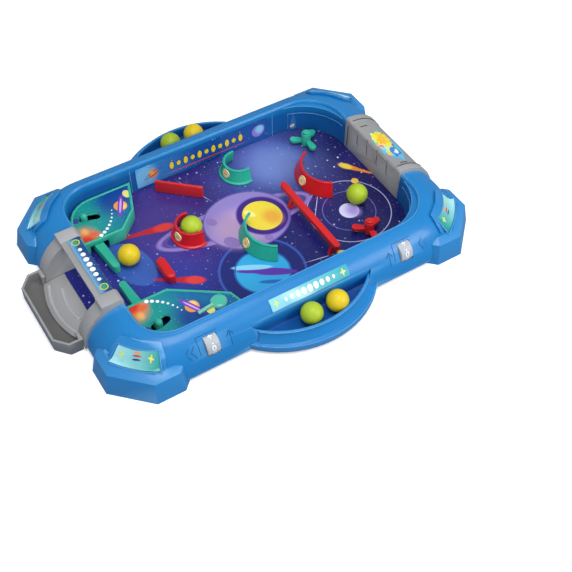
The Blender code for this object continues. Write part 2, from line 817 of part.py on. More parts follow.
def cheek_profile():
    """A cheek's section in Y and Z: upright inside, and a falling curve to the ball tray outside."""
    shelf = FLOOR_TOP + GAP
    top = ARCH_TOP
    outer = ARCH_IN + CROSSBAR_DEPTH + ARCH_CHAMFER
    outline = [
        (-ARCH_IN, shelf),
        (-ARCH_IN, top - ARCH_CHAMFER),
        (-ARCH_IN - ARCH_CHAMFER, top),
        (-outer, top),
    ]
    first = math.degrees(math.asin((outer + GAP - ARCH_IN) / ARCH_RUN))
    for step in range(RIM_STEPS + 1):
        angle = math.radians(first + (90 - first) * step / RIM_STEPS)
        outline.append((-ARCH_IN - ARCH_RUN * math.sin(angle), RIM_FOOT + ARCH_RISE * math.cos(angle)))
    outline += [(-TONGUE_END - GAP, RIM_FOOT), (-TONGUE_END - GAP, shelf)]
    return outline


def make_arch():
    profile = cheek_profile()
    arch = add_piece("outlet_arch", new_prism(profile, OUTLET_X, CHEEK_OUT, "X"), GREY)
    unite(arch, helper("left_cheek", new_prism(profile, -CHEEK_OUT, -OUTLET_X, "X")))
    bar = bmesh.new()
    reach = OUTLET_X + CHEEK_WIDTH / 2
    near = -ARCH_IN - ARCH_CHAMFER - CROSSBAR_DEPTH
    face = ARCH_TOP - GAP
    bar_y = (near + GAP, -ARCH_IN - ARCH_CHAMFER)
    box(bar, (-reach, reach), bar_y, (ARCH_TOP - CROSSBAR_THICKNESS, face))
    unite(arch, helper("crossbar", bar))
    half = OUTLET_X - GAP
    edge = -ARCH_IN - ARCH_CHAMFER - GAP
    outline = box_outline(-half, half, edge - ARCH_LABEL_DEPTH, edge)
    level = face + GAP
    add_piece("arch_label", new_prism(outline, level, level + PRINT_THICKNESS), LABEL_CYAN)


def make_chute():
    """A ramp from the shelf down to the ball tray, with a round outer edge."""
    start = TONGUE_END + GAP
    top = FIELD_LEVEL - GAP
    low = TRAY_FLOOR + GAP
    fall = (top - CHUTE_END) / (CHUTE_REACH - start)
    half = OUTLET_X - GAP
    rings = []
    for step in range(-CORNER_STEPS, CORNER_STEPS + 1):
        x = half * step / CORNER_STEPS
        end = CHUTE_REACH - CHUTE_ROUND + math.sqrt(CHUTE_ROUND**2 - x**2)
        ring = [(x, -start, top - CHUTE_THICKNESS), (x, -start, top)]
        ring.append((x, -end, top - fall * (end - start)))
        rings.append(ring + [(x, -end, low), (x, -TRAY_BACK, low)])
    bm = bmesh.new()
    loft(bm, rings)
    add_piece("chute_ramp", bm, GREY)


def tray_outline(back):
    return [
        (-TRAY_X, -back),
        (-TRAY_X, TRAY_CHAMFER - TRAY_REACH),
        (-TRAY_FRONT_X, -TRAY_REACH),
        (TRAY_FRONT_X, -TRAY_REACH),
        (TRAY_X, TRAY_CHAMFER - TRAY_REACH),
        (TRAY_X, -back),
    ]


def make_ball_tray():
    bm = new_prism(tray_outline(TRAY_BACK - TRAY_TUCK), 0, TRAY_HEIGHT)
    tray = add_piece("ball_tray", bm, DARK_GREY)
    high = TRAY_HEIGHT + OVERRUN
    inside = new_prism(inset(tray_outline(TRAY_BACK), TRAY_WALL), TRAY_FLOOR, high)
    cut(tray, helper("ball_tray_inside", inside))
    mouth = bmesh.new()
    mouth_y = (-TRAY_BACK - TRAY_WALL - OVERRUN, OVERRUN - TRAY_BACK)
    box(mouth, (-OUTLET_X, OUTLET_X), mouth_y, (TRAY_FLOOR, high))
    cut(tray, helper("ball_tray_mouth", mouth))
    curve = [(OVERRUN - TRAY_BACK, -OVERRUN), (OVERRUN - TRAY_BACK, high)]
    for step in range(RIM_STEPS + 1):
        angle = math.radians(90 * step / RIM_STEPS)
        y = -ARCH_IN - (ARCH_RUN + GAP) * math.sin(angle)
        if y < curve[0][0]:
            curve.append((y, RIM_FOOT + (ARCH_RISE + GAP) * math.cos(angle)))
    curve.append((-TRAY_BACK, -OVERRUN))
    seat = new_prism(curve, -TRAY_X - OVERRUN, TRAY_X + OVERRUN, "X")
    cut(tray, helper("ball_tray_seat", seat))


# Side trays and labels


def make_side_trays():
    outer, lip = side_tray_circles()
    for side in (-1, 1):
        wide = mirrored(segment_outline(outer, SIDE_TRAY_RADIUS, SIDE_TRAY_BACK), side)
        narrow = mirrored(segment_outline(lip, SIDE_TRAY_LIP_RADIUS, SIDE_TRAY_BACK), side)
        bm = bmesh.new()
        loft(
            bm,
            [
                at_height(wide, RIM_FOOT),
                at_height(wide, SIDE_TRAY_STEP - GAP),
                at_height(narrow, SIDE_TRAY_STEP),
                at_height(narrow, SIDE_TRAY_BACK_TOP),
            ],
        )
        tray = add_piece(f"side_tray_{side_name(side)}", bm, BLUE)
        inner = segment_outline(lip, SIDE_TRAY_LIP_RADIUS - SIDE_TRAY_WALL, SIDE_TRAY_BACK + CASE_SKIN)
        inside = new_prism(mirrored(inner, side), SIDE_TRAY_FLOOR, SIDE_TRAY_BACK_TOP + OVERRUN)
        cut(tray, helper(f"tray_inside_{side_name(side)}", inside))
        radius = SIDE_TRAY_RADIUS
        front = box_outline(SIDE_TRAY_BACK + CASE_SKIN, SIDE_TRAY_REACH, -radius, radius)
        above = new_prism(mirrored(front, side), SIDE_TRAY_LIP, SIDE_TRAY_BACK_TOP + OVERRUN)
        cut(tray, helper(f"tray_above_{side_name(side)}", above))
        below = segment_outline(outer, radius - SIDE_TRAY_WALL, SIDE_TRAY_BACK + CASE_SKIN)
        under = new_prism(mirrored(below, side), -OVERRUN, SIDE_TRAY_FLOOR - CASE_SKIN)
        cut(tray, helper(f"tray_under_{side_name(side)}", under))


def make_wall_label():
    """The label leans with the inner wall that it is on."""
    rise = DEFLECTOR_TOP - FLOOR_TOP
    faces = []
    for z in (WALL_LABEL_LOW, WALL_LABEL_HIGH):
        wall = FIELD_X + WALL_LEAN * (z - FLOOR_TOP) / rise
        faces.append([(inwards - wall, z) for inwards in (GAP, GAP + PRINT_THICKNESS)])
    outline = faces[0] + faces[1][::-1]
    add_piece("wall_label", new_prism(outline, WALL_LABEL_NEAR, WALL_LABEL_FAR, "Y"), LABEL_CYAN)


def make_rim_label(skins):
    start = RIM_IN_X + SIDE_LABEL_IN
    end = RIM_IN_X + SIDE_LABEL_OUT
    outline = box_outline(start, end, -SIDE_LABEL_HALF, SIDE_LABEL_HALF)
    make_skin("rim_label", outline, skins["rim_print"], skins["rim"])


# Score wheels


def make_score_wheels():
    wheel_x, wheel_z = score_wheel_centre()
    for name, y in wheel_places().items():
        half = WHEEL_WIDTH / 2
        place = (wheel_x, y, wheel_z)
        wheel = add_piece(name, new_prism(circle((0, 0), WHEEL_RADIUS), -half, half, "Y"), GREY, place)
        hole = circle((0, 0), AXLE_RADIUS + GAP, PIN_STEPS)
        bore = new_prism(hole, -half - OVERRUN, half + OVERRUN, "Y")
        cut(wheel, helper(f"{name}_bore", bore, place))
        reach = half + BRACKET_THICKNESS + 2 * RUNNING_GAP
        axle = new_prism(circle((wheel_x, wheel_z), AXLE_RADIUS, PIN_STEPS), y - reach, y + reach, "Y")
        add_piece(f"{name}_axle", axle, STEEL, metallic=1.0)


# Flippers and their covers


def cover_outline(shares, side, round_corner):
    """A cover fills the near corner of the field. Its free edge follows shares of the field's half sizes."""
    edge = FIELD_X - 2 * GAP
    foot = FIELD_Y - 2 * GAP
    free = [(x * edge, -y * foot) for x, y in shares]
    start = (shares[0][0] * edge, -foot)
    corner = (edge - NEAR_CORNER, NEAR_CORNER - foot)
    outline = [start] + arc(corner, NEAR_CORNER, -90, 0, CORNER_STEPS) + [free[2], free[1]]
    if round_corner:
        outline += rounded_corner(free[1], free[0], start, COVER_ROUND)
    else:
        outline.append(free[0])
    return mirrored(outline, side)


def knob_angles():
    """The knob's directions about the pivot at both ends of its slot, for the right side."""
    return KNOB_LEAD_ANGLE + FLIPPER_RAISED_ANGLE, KNOB_LEAD_ANGLE + FLIPPER_DROPPED_ANGLE


def make_cover(name, shares, side, round_corner):
    outline = cover_outline(shares, side, round_corner)
    cover = add_piece(name, new_prism(outline, PIECE_FOOT, COVER_TOP), TEAL)
    inside = new_prism(inset(outline, COVER_WALL), -OVERRUN, COVER_UNDER)
    cut(cover, helper(f"{name}_inside", inside))
    recess = new_prism(inset(outline, COVER_BORDER), COVER_FACE, COVER_TOP + OVERRUN)
    cut(cover, helper(f"{name}_recess", recess))
    slack = math.degrees(RUNNING_GAP / KNOB_ARM)
    low, high = knob_angles()
    pivot = (PIVOT_X, PIVOT_Y)
    angles = (low - slack, high + slack)
    half = KNOB_RADIUS + RUNNING_GAP
    slot = mirrored(slot_outline(pivot, KNOB_ARM, half, angles, CORNER_STEPS), side)
    slot_mesh = new_prism(slot, COVER_UNDER - OVERRUN / 2, COVER_TOP + OVERRUN)
    cut(cover, helper(f"{name}_slot", slot_mesh))
    edge = shares[0][0] * FIELD_X
    window_y = (PIVOT_Y - COVER_WINDOW_NEAR, PIVOT_Y + COVER_WINDOW_FAR)
    window = mirrored(box_outline(edge - OVERRUN, edge + OVERRUN, *window_y), side)
    opening = new_prism(window, -OVERRUN, FLIPPER_TOP + RUNNING_GAP)
    cut(cover, helper(f"{name}_window", opening))
    print_outline = inset(outline, COVER_BORDER + GAP)
    level = COVER_FACE + GAP
    sheet = new_prism(print_outline, level, level + PRINT_THICKNESS)
    label = add_piece(f"{name}_label", sheet, LABEL_CYAN)
    wide = slot_outline(pivot, KNOB_ARM, half + RUNNING_GAP, angles, CORNER_STEPS)
    wide_mesh = new_prism(mirrored(wide, side), COVER_UNDER, COVER_TOP + OVERRUN)
    cut(label, helper(f"{name}_label_slot", wide_mesh))


def arm_outline():
    """The flipper's arm along -X from the pivot, tapering to a round tip."""
    tip = FLIPPER_LENGTH - FLIPPER_TIP
    end = arc((-tip, 0), FLIPPER_TIP, 90, 270, CORNER_STEPS)
    return [(0, FLIPPER_ROOT)] + end + [(0, -FLIPPER_ROOT)]


def make_flipper(name, side, rest):
    pivot = (side * PIVOT_X, PIVOT_Y, 0)
    low = PIECE_FOOT + FLIPPER_LIFT
    hub_top = COVER_UNDER - RUNNING_GAP
    turn = rest * side
    arm = new_prism(mirrored(arm_outline(), side), low, FLIPPER_TOP)
    flipper = add_piece(name, arm, TEAL, pivot, turn)
    hub_mesh = new_prism(circle((0, 0), HUB_RADIUS), low + GAP, hub_top)
    unite(flipper, helper(f"{name}_hub", hub_mesh, pivot, turn))
    lead = math.radians(KNOB_LEAD_ANGLE)
    along = Vector((math.cos(lead), math.sin(lead)))
    across = Vector((-along.y, along.x)) * LEVER_HALF
    knob_at = tuple(along * KNOB_ARM)
    end = Vector(knob_at)
    lever = [tuple(-across), tuple(end - across), tuple(end + across), tuple(across)]
    lever_mesh = new_prism(mirrored(lever, side), hub_top - LEVER_DROP, hub_top - GAP)
    unite(flipper, helper(f"{name}_lever", lever_mesh, pivot, turn))
    post = mirrored(circle(knob_at, KNOB_RADIUS), side)
    post_mesh = new_prism(post, hub_top - LEVER_DROP - GAP, COVER_TOP + RUNNING_GAP)
    unite(flipper, helper(f"{name}_post", post_mesh, pivot, turn))
    bore = new_prism(circle((0, 0), PIN_RADIUS + GAP, PIN_STEPS), low - OVERRUN, hub_top + OVERRUN)
    cut(flipper, helper(f"{name}_bore", bore, pivot, turn))

    knob = bmesh.new()
    base = COVER_TOP + RUNNING_GAP + GAP
    rings = []
    for rise, width in KNOB_DOME_SHARES:
        ring = mirrored(circle(knob_at, KNOB_RADIUS * width), side)
        rings.append(at_height(ring, base + KNOB_HEIGHT * rise))
    loft(knob, rings)
    add_piece(f"{name}_knob", knob, TEAL, pivot, turn)
    pin = new_prism(circle(pivot[:2], PIN_RADIUS, PIN_STEPS), PIECE_FOOT, COVER_UNDER - GAP)
    add_piece(f"{name}_pin", pin, STEEL, metallic=1.0)


# Cups, arc walls and badges


def field_place(shares):
    return shares[0] * FIELD_X, shares[1] * FIELD_Y


def leaning_radius(foot_radius, top_radius, height):
    """The outer radius of a wall that leans inwards, at a height over its foot."""
    return foot_radius + (top_radius - foot_radius) * height / WALL_HEIGHT


def make_badge(name, centre, radii, height, angle):
    """A round badge on the outside of a leaning wall, facing the near end."""
    turn = Matrix.Rotation(math.radians(angle - 90), 3, "Z")
    back = []
    for u, v in circle((0, 0), BADGE_RADIUS):
        seat = leaning_radius(*radii, height + v) + GAP
        back.append(Vector((u, math.sqrt(seat**2 - u**2), v)))
    front = [point + Vector((0, BADGE_THICKNESS, 0)) for point in back]
    bm = bmesh.new()
    loft(bm, [[turn @ point for point in ring] for ring in (back, front)])
    bmesh.ops.triangulate(bm, faces=[face for face in bm.faces if len(face.verts) > 4])
    add_piece(name, bm, BADGE_YELLOW, (*centre, PIECE_FOOT + height))


def leaning_band(centre, radii, angles, low):
    """A thin wall round part of a circle, from a height over its foot up to its top."""
    rings = []
    for height in (low, WALL_HEIGHT):
        radius = leaning_radius(*radii, height)
        outline = band_outline(centre, radius - BAND, radius, angles, ROUND_STEPS)
        rings.append(at_height(outline, PIECE_FOOT + height))
    bm = bmesh.new()
    loft(bm, rings)
    return bm


def make_cup(name, shares, angles, look):
    centre = field_place(shares)
    radii = (CUP_FOOT_RADIUS, CUP_TOP_RADIUS)
    cup = add_piece(name, leaning_band(centre, radii, angles, GAP), look)
    inner = CUP_FOOT_RADIUS - BAND / 2
    flange = band_outline(centre, inner, CUP_FOOT_RADIUS + CUP_FLANGE, angles, ROUND_STEPS)
    flange_mesh = new_prism(flange, PIECE_FOOT, PIECE_FOOT + CUP_FLANGE_HEIGHT)
    unite(cup, helper(f"{name}_flange", flange_mesh))
    middle = (CUP_FLANGE_HEIGHT + WALL_HEIGHT) / 2
    make_badge(f"{name}_badge", centre, radii, middle, CUP_BADGE_ANGLE)


def make_arc_wall(name, shares, angles, look):
    centre = field_place(shares)
    radii = (ARC_FOOT_RADIUS, ARC_TOP_RADIUS)
    add_piece(name, leaning_band(centre, radii, angles, 0), look)
    make_badge(f"{name}_badge", centre, radii, WALL_HEIGHT / 2, ARC_BADGE_ANGLE)


# The other obstacles


def make_plate():
    half = PLATE_LENGTH / 2
    outline = box_outline(-half, half, -PLATE_THICKNESS / 2, PLATE_THICKNESS / 2)
    place = (*field_place(PLATE_SHARES), 0)
    bm = new_prism(outline, PIECE_FOOT, PIECE_FOOT + PLATE_HEIGHT)
    add_piece("red_plate", bm, RED, place, PLATE_ANGLE)


def stadium(length, radius):
    """A bar with round ends along X, centred."""
    half = length / 2 - radius
    right = arc((half, 0), radius, -90, 90, CORNER_STEPS)
    return right + arc((-half, 0), radius, 90, 270, CORNER_STEPS)


def make_long_bar():
    place = (*field_place(BAR_SHARES), 0)
    bm = new_prism(stadium(BAR_LENGTH, BAR_HALF), BAR_TOP - BAR_DEPTH, BAR_TOP)
    bar = add_piece("long_bar", bm, RED, place)
    legs = bmesh.new()
    for share in BAR_LEG_SHARES:
        x = share * BAR_LENGTH - BAR_LENGTH / 2
        leg_x = (x - BAR_LEG_HALF, x + BAR_LEG_HALF)
        low = box_outline(*leg_x, -BAR_HALF - BAR_LEG_SPREAD, BAR_HALF)
        high = box_outline(*leg_x, GAP - BAR_HALF, BAR_HALF - GAP)
        loft(legs, [at_height(low, PIECE_FOOT), at_height(high, BAR_TOP - BAR_DEPTH / 2)])
    unite(bar, helper("bar_legs", legs, place))


def make_capsule():
    shape = stadium(CAPSULE_LENGTH, CAPSULE_RADIUS)
    shoulder = PIECE_FOOT + CAPSULE_HEIGHT * CAPSULE_SHOULDER_SHARE
    bm = bmesh.new()
    crown = inset(shape, CAPSULE_RADIUS * CAPSULE_CROWN_SHARE)
    top = PIECE_FOOT + CAPSULE_HEIGHT
    loft(bm, [at_height(shape, PIECE_FOOT), at_height(shape, shoulder), at_height(crown, top)])
    add_piece("capsule_bumper", bm, RED, (*field_place(CAPSULE_SHARES), 0))


def spinner_outline():
    """Three paddles with round ends and narrow waists."""
    outline = []
    spacing = 360 / LOBE_COUNT
    waist = math.degrees(math.asin(LOBE_WAIST / SPINNER_ROOT))
    for lobe in range(LOBE_COUNT):
        turn = lobe * spacing
        tip = polar(LOBE_REACH - LOBE_HALF, turn)
        outline.append(polar(SPINNER_ROOT, turn - waist))
        outline += arc(tip, LOBE_HALF, turn - LOBE_TIP_ANGLE, turn + LOBE_TIP_ANGLE, CORNER_STEPS)
        outline.append(polar(SPINNER_ROOT, turn + waist))
        outline.append(polar(SPINNER_ROOT, turn + spacing / 2))
    return outline


def make_spinner(name, shares, angle, look):
    place = (*field_place(shares), 0)
    low = PIECE_FOOT + FLIPPER_LIFT
    column = new_prism(circle((0, 0), SPINNER_HUB), low, SPINNER_TOP)
    spinner = add_piece(name, column, look, place, angle)
    paddles = new_prism(spinner_outline(), LOBE_TOP - LOBE_THICKNESS, LOBE_TOP)
    unite(spinner, helper(f"{name}_paddles", paddles, place, angle))
    hole = circle((0, 0), SPINNER_PIN + GAP, PIN_STEPS)
    bore = new_prism(hole, low - OVERRUN, SPINNER_TOP + OVERRUN)
    cut(spinner, helper(f"{name}_bore", bore, place, angle))
    head_low = SPINNER_TOP + RUNNING_GAP
    shaft = new_prism(circle((0, 0), SPINNER_PIN, PIN_STEPS), PIECE_FOOT, head_low + GAP)
    pin = add_piece(f"{name}_pin", shaft, look, place)
    head_outline = circle((0, 0), SPINNER_PIN_HEAD, PIN_STEPS)
    head = new_prism(head_outline, head_low, head_low + SPINNER_PIN_HEAD_HEIGHT)
    unite(pin, helper(f"{name}_pin_head", head, place))


# The balls


def make_ball(name, place, floor):
    bm = bmesh.new()
    bmesh.ops.create_icosphere(bm, subdivisions=3, radius=BALL_RADIUS)
    look = BALL_GREEN if "green" in name else BALL_YELLOW
    add_piece(name, bm, look, (*place, floor + GAP + BALL_RADIUS))


def make_balls():
    for name, shares in FIELD_BALL_SHARES.items():
        make_ball(name, field_place(shares), FIELD_LEVEL)
    for side, places in ((1, NEAR_SIDE_BALL_Y), (-1, FAR_SIDE_BALL_Y)):
        x = side * (SIDE_TRAY_REACH - SIDE_TRAY_BALL_IN)
        for name, y in places.items():
            make_ball(name, (x, y), SIDE_TRAY_FLOOR)


def main():
    clear_scene()
    make_case_centre()
    make_case()
    make_card()
    print_top = PANEL_THICKNESS + GAP + PRINT_THICKNESS
    skins = {
        "rim": rim_solid("rim_seat", GAP),
        "rim_print": rim_solid("rim_print", GAP + PRINT_THICKNESS),
        "panel": rim_solid("rim_panel", PANEL_THICKNESS),
        "panel_seat": rim_solid("rim_panel_seat", PANEL_THICKNESS + GAP),
        "panel_print": rim_solid("rim_panel_print", print_top),
    }
    make_feet(skins)
    make_bumper()
    make_arch()
    make_chute()
    make_ball_tray()
    make_side_trays()
    make_wall_label()
    make_rim_label(skins)
    make_score_wheels()
    make_cover("flipper_cover_left", LEFT_COVER_SHARES, -1, False)
    make_cover("flipper_cover_right", RIGHT_COVER_SHARES, 1, True)
    make_flipper("flipper_left", -1, LEFT_REST_ANGLE)
    make_flipper("flipper_right", 1, RIGHT_REST_ANGLE)
    make_cup("teal_cup", TEAL_CUP_SHARES, TEAL_CUP_ANGLES, TEAL)
    make_cup("red_cup", RED_CUP_SHARES, RED_CUP_ANGLES, RED)
    make_arc_wall("teal_arc_wall", TEAL_ARC_SHARES, TEAL_ARC_ANGLES, TEAL)
    make_arc_wall("red_arc_wall", RED_ARC_SHARES, RED_ARC_ANGLES, RED)
    make_plate()
    make_long_bar()
    make_capsule()
    make_spinner("teal_spinner", TEAL_SPINNER_SHARES, TEAL_SPINNER_ANGLE, TEAL)
    make_spinner("red_spinner", RED_SPINNER_SHARES, RED_SPINNER_ANGLE, RED)
    make_balls()


main()
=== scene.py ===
"""Looks of the tabletop pinball game: finishes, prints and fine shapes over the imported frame.

Metres, +Z up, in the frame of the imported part. Places in the tables are measured from the middle of the
case, and CASE_Y moves them into the frame.
"""

import json
import math

import bmesh
import bpy
from bpy.props import FloatProperty, FloatVectorProperty, IntProperty, PointerProperty
from mathutils import Matrix, Vector
from mathutils.bvhtree import BVHTree

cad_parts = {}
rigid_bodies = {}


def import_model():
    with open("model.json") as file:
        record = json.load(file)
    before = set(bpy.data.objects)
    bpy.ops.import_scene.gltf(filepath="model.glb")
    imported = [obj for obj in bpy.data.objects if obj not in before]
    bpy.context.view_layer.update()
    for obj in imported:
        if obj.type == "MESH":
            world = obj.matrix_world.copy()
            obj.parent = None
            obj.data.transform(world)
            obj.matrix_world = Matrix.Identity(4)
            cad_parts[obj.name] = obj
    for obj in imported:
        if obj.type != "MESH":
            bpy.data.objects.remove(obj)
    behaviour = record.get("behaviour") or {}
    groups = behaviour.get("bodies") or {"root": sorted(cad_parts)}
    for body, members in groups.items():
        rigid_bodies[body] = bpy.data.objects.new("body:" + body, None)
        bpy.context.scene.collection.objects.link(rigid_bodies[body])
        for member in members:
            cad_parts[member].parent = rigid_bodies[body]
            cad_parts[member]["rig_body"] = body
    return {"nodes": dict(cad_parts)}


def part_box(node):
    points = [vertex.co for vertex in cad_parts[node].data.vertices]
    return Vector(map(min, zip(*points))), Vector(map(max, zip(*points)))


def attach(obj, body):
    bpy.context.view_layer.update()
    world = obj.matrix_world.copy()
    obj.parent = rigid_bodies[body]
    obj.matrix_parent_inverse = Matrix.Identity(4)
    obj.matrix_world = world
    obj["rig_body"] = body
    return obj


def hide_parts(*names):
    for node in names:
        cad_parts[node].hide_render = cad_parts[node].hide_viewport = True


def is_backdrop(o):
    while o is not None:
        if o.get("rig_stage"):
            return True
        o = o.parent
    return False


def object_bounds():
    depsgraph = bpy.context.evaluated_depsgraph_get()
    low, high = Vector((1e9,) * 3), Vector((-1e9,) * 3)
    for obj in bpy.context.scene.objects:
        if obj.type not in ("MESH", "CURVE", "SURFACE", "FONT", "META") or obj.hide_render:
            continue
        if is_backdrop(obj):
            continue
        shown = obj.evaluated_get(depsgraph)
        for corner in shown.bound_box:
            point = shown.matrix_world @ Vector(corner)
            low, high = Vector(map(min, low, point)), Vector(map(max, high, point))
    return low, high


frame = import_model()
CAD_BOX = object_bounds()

bl_info = {
    "name": "Tabletop pinball game",
    "version": (1, 0, 0),
    "blender": (4, 5, 0),
    "location": "View3D > Sidebar > Pinball",
    "description": "Builds the finished surfaces of a tabletop pinball game over its frame",
    "category": "Object",
}

CASE_Y = 0.00925
SHIFT = Vector((0, CASE_Y, 0))

# Sizes shared with the frame
FIELD_X = 0.093
FIELD_Y = 0.1414
FLOOR_TOP = 0.0079
CASE_SKIN = 0.0022
RIM_FOOT = 0.0035
RIM_RISE = 0.036
RIM_TOP = RIM_FOOT + RIM_RISE
RIM_SIDE_RUN = 0.0256
RIM_END_RUN = 0.0374
WALL_LEAN = 0.001
CREST_INSET = 0.0012
CREST_DROP = 0.002
NEAR_CORNER = 0.028
FAR_CORNER = 0.0365
OUTER_CORNER = 0.06
DEFLECTOR_CORNER = 0.048
DEFLECTOR_TOP = 0.0365
PIECE_FOOT = 0.0091
WHEEL_X = 0.108376
WHEEL_Z = 0.022787
WHEEL_Y = 0.0975
WHEEL_RADIUS = 0.0105
WHEEL_WIDTH = 0.012
CORNERS = ("near_left", "near_right", "far_left", "far_right")
CUPS = {
    "teal_cup": ((-0.697 * FIELD_X, 0.223 * FIELD_Y), 171.0, 375.0, "10"),
    "red_cup": ((-0.175 * FIELD_X, -0.327 * FIELD_Y), 169.0, 378.0, "20"),
}
ARC_WALLS = {
    "teal_arc_wall": ((0.256 * FIELD_X, 0.127 * FIELD_Y), 207.0, 334.0, "30"),
    "red_arc_wall": ((-0.185 * FIELD_X, 0.737 * FIELD_Y), 203.0, 334.0, "50"),
}
PIECE_RISE = 0.0149
BADGE_FACE = 0.0012
OUTLET_GAP = 0.0483
BUMPER_GAP = 0.0444
TRAY_CENTRE = 0.0553
FOOT_CENTRE = Vector((0.1264 - 0.0311 / 2, 0.1868 - 0.0311 / 2))
MM = 0.001
CORNER_STEPS = 18
STRAIGHT_STEPS = 12

# The corner labels: half their length, how far their edges bow, where they start and how wide they are
LABEL_HALF = 0.0193
LABEL_BOW = 0.0028
LABEL_FRONT = 0.0125
LABEL_DEPTH = 0.014

# The bumper's splash label: its middle, its half sizes, and the waves of its edge as height, count and turn
SPLASH_MIDDLE = (0.006, 0.1552)
SPLASH_HALF = (0.0225, 0.0112)
SPLASH_WAVES = ((0.07, 5, 0.6), (0.05, 9, 0.0), (0.04, 14, 0.0))
SPLASH_STEPS = 64

# The emblem on the right cover, as radii at heights
EMBLEM_PROFILE = ((0.0074, 0.0), (0.0074, 0.0011), (0.0068, 0.0019), (0.0046, 0.0026), (0.0018, 0.0028))

# The side trays' feet and walls as their reach and radius, and where they start
TRAY_SHAPES = ((0.1493, 0.088), (0.14, 0.0847))
TRAY_CHORD = 0.1122

# The part slot that each look fills
SLOTS = {
    "case_blue": ("blue", "line"),
    "teal": ("teal", "pale_teal"),
    "red": ("red",),
    "grey": ("grey", "ridge", "wheel"),
    "dark_grey": ("dark_grey", "groove"),
    "steel": ("steel",),
    "card_print": ("card",),
    "label_print": ("wall_label", "rim_label", "arch_label", "corner_label", "cover_label", "bumper_label"),
    "badge": ("badge", "white", "red_ink"),
    "ball_green": ("green_ball",),
    "ball_yellow": ("yellow_ball",),
}
SLOT_OF = {look: slot for slot, looks in SLOTS.items() for look in looks}


# Small helpers


def linear(colour):
    """A colour written as in the photograph's display values, as Blender's linear values."""
    shares = [int(colour[index : index + 2], 16) / 255 for index in (1, 3, 5)]
    return [share / 12.92 if share <= 0.04045 else ((share + 0.055) / 1.055) ** 2.4 for share in shares]


def rgba(colour):
    return (*(linear(colour) if isinstance(colour, str) else colour), 1.0)


def new_object(name, mesh):
    obj = bpy.data.objects.new(name, mesh)
    bpy.context.scene.collection.objects.link(obj)
    return obj


def mesh_object(name, bm, shift=True):
    """An object from mesh code, moved from the case's middle into the frame."""
    if shift:
        bmesh.ops.translate(bm, verts=bm.verts, vec=SHIFT)
    mesh = bpy.data.meshes.new(name)
    bm.to_mesh(mesh)
    bm.free()
    return new_object(name, mesh)


def smooth(obj, angle):
    obj.data.shade_smooth()
    obj.data.set_sharp_from_angle(angle=math.radians(angle))
    return obj


def settle(obj):
    """Turns what the modifiers make into the object's plain mesh."""
    graph = bpy.context.evaluated_depsgraph_get()
    mesh = bpy.data.meshes.new_from_object(obj.evaluated_get(graph), depsgraph=graph)
    obj.modifiers.clear()
    obj.data = mesh
    return obj


def dress(obj, look, body="case", replaces=(), slot=None):
    """Gives a finished piece its material, its body and the nodes that it stands for."""
    obj.data.materials.clear()
    obj.data.materials.append(finish_of(look))
    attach(obj, body)
    slot or SLOT_OF[look]
    if replaces:
        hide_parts(*replaces)
    return obj


def body_of(node):
    return frame["nodes"][node]["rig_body"]


def merged(node):
    """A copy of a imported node's mesh with its triangles joined and its flat faces made whole."""
    bm = bmesh.new()
    bm.from_mesh(frame["nodes"][node].data)
    bmesh.ops.remove_doubles(bm, verts=bm.verts, dist=1e-6)
    bmesh.ops.dissolve_limit(bm, angle_limit=math.radians(0.6), verts=bm.verts, edges=bm.edges)
    return bm


def soften(obj, width, segments, angle):
    """Rounds the edges that are sharper than an angle."""
    rounding = obj.modifiers.new("Softened edges", "BEVEL")
    rounding.width = width
    rounding.segments = segments
    rounding.limit_method = "ANGLE"
    rounding.angle_limit = math.radians(angle)
    settle(obj)


def refine(node, look, bevel=0.0, angle=30.0, segments=2):
    """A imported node's shape with softened edges and smooth curves."""
    obj = mesh_object(node + "_finished", merged(node), shift=False)
    if bevel:
        soften(obj, bevel, segments, angle)
    smooth(obj, 40.0 if bevel else 32.0)
    return dress(obj, look, body_of(node), [node])


def surface_of(node):
    """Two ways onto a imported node, from the case's middle: drop falls from above, touch goes level."""
    mesh = frame["nodes"][node].data
    points = [v.co - SHIFT for v in mesh.vertices]
    tree = BVHTree.FromPolygons(points, [list(p.vertices) for p in mesh.polygons])

    def cast(start, way):
        hit = tree.ray_cast(Vector(start), Vector(way))[0]
        if hit is None:
            raise RuntimeError(f"the ray from {start} misses {node}")
        return hit

    def drop(x, y, lift=0.0):
        return Vector((x, y, cast((x, y, 0.2), (0, 0, -1)).z + lift))

    def touch(x, y, z, way, lift=0.0):
        return cast((x, y, z), (*way, 0)) + Vector((*way, 0)) * lift

    return drop, touch


def arc(centre, radius, start, end, steps):
    turns = [math.radians(start + (end - start) * step / steps) for step in range(steps + 1)]
    return [(centre[0] + radius * math.cos(turn), centre[1] + radius * math.sin(turn)) for turn in turns]


def circle(centre, radius, steps):
    return arc(centre, radius, 0, 360, steps)[:-1]


def between(first, last, steps, start=0):
    """Places on the way from one to another, from a step on and without the last."""
    shares = [step / steps for step in range(start, steps)]
    run_x, run_y = last[0] - first[0], last[1] - first[1]
    return [(first[0] + run_x * share, first[1] + run_y * share) for share in shares]


def loft(rings):
    """A skin through rings of equally many points, capped at both ends."""
    bm = bmesh.new()
    rows = [[bm.verts.new(point) for point in ring] for ring in rings]
    for lower, upper in zip(rows, rows[1:]):
        for index in range(len(lower)):
            after = (index + 1) % len(lower)
            bm.faces.new((lower[index], lower[after], upper[after], upper[index]))
    bm.faces.new(list(reversed(rows[0])))
    bm.faces.new(rows[-1])
    bmesh.ops.recalc_face_normals(bm, faces=bm.faces)
    return bm


def prism(outline, low, high, axis="Z"):
    places = {
        "X": lambda u, v, w: (w, u, v),
        "Y": lambda u, v, w: (u, w, v),
        "Z": lambda u, v, w: (u, v, w),
    }
    return loft([[places[axis](u, v, w) for u, v in outline] for w in (low, high)])


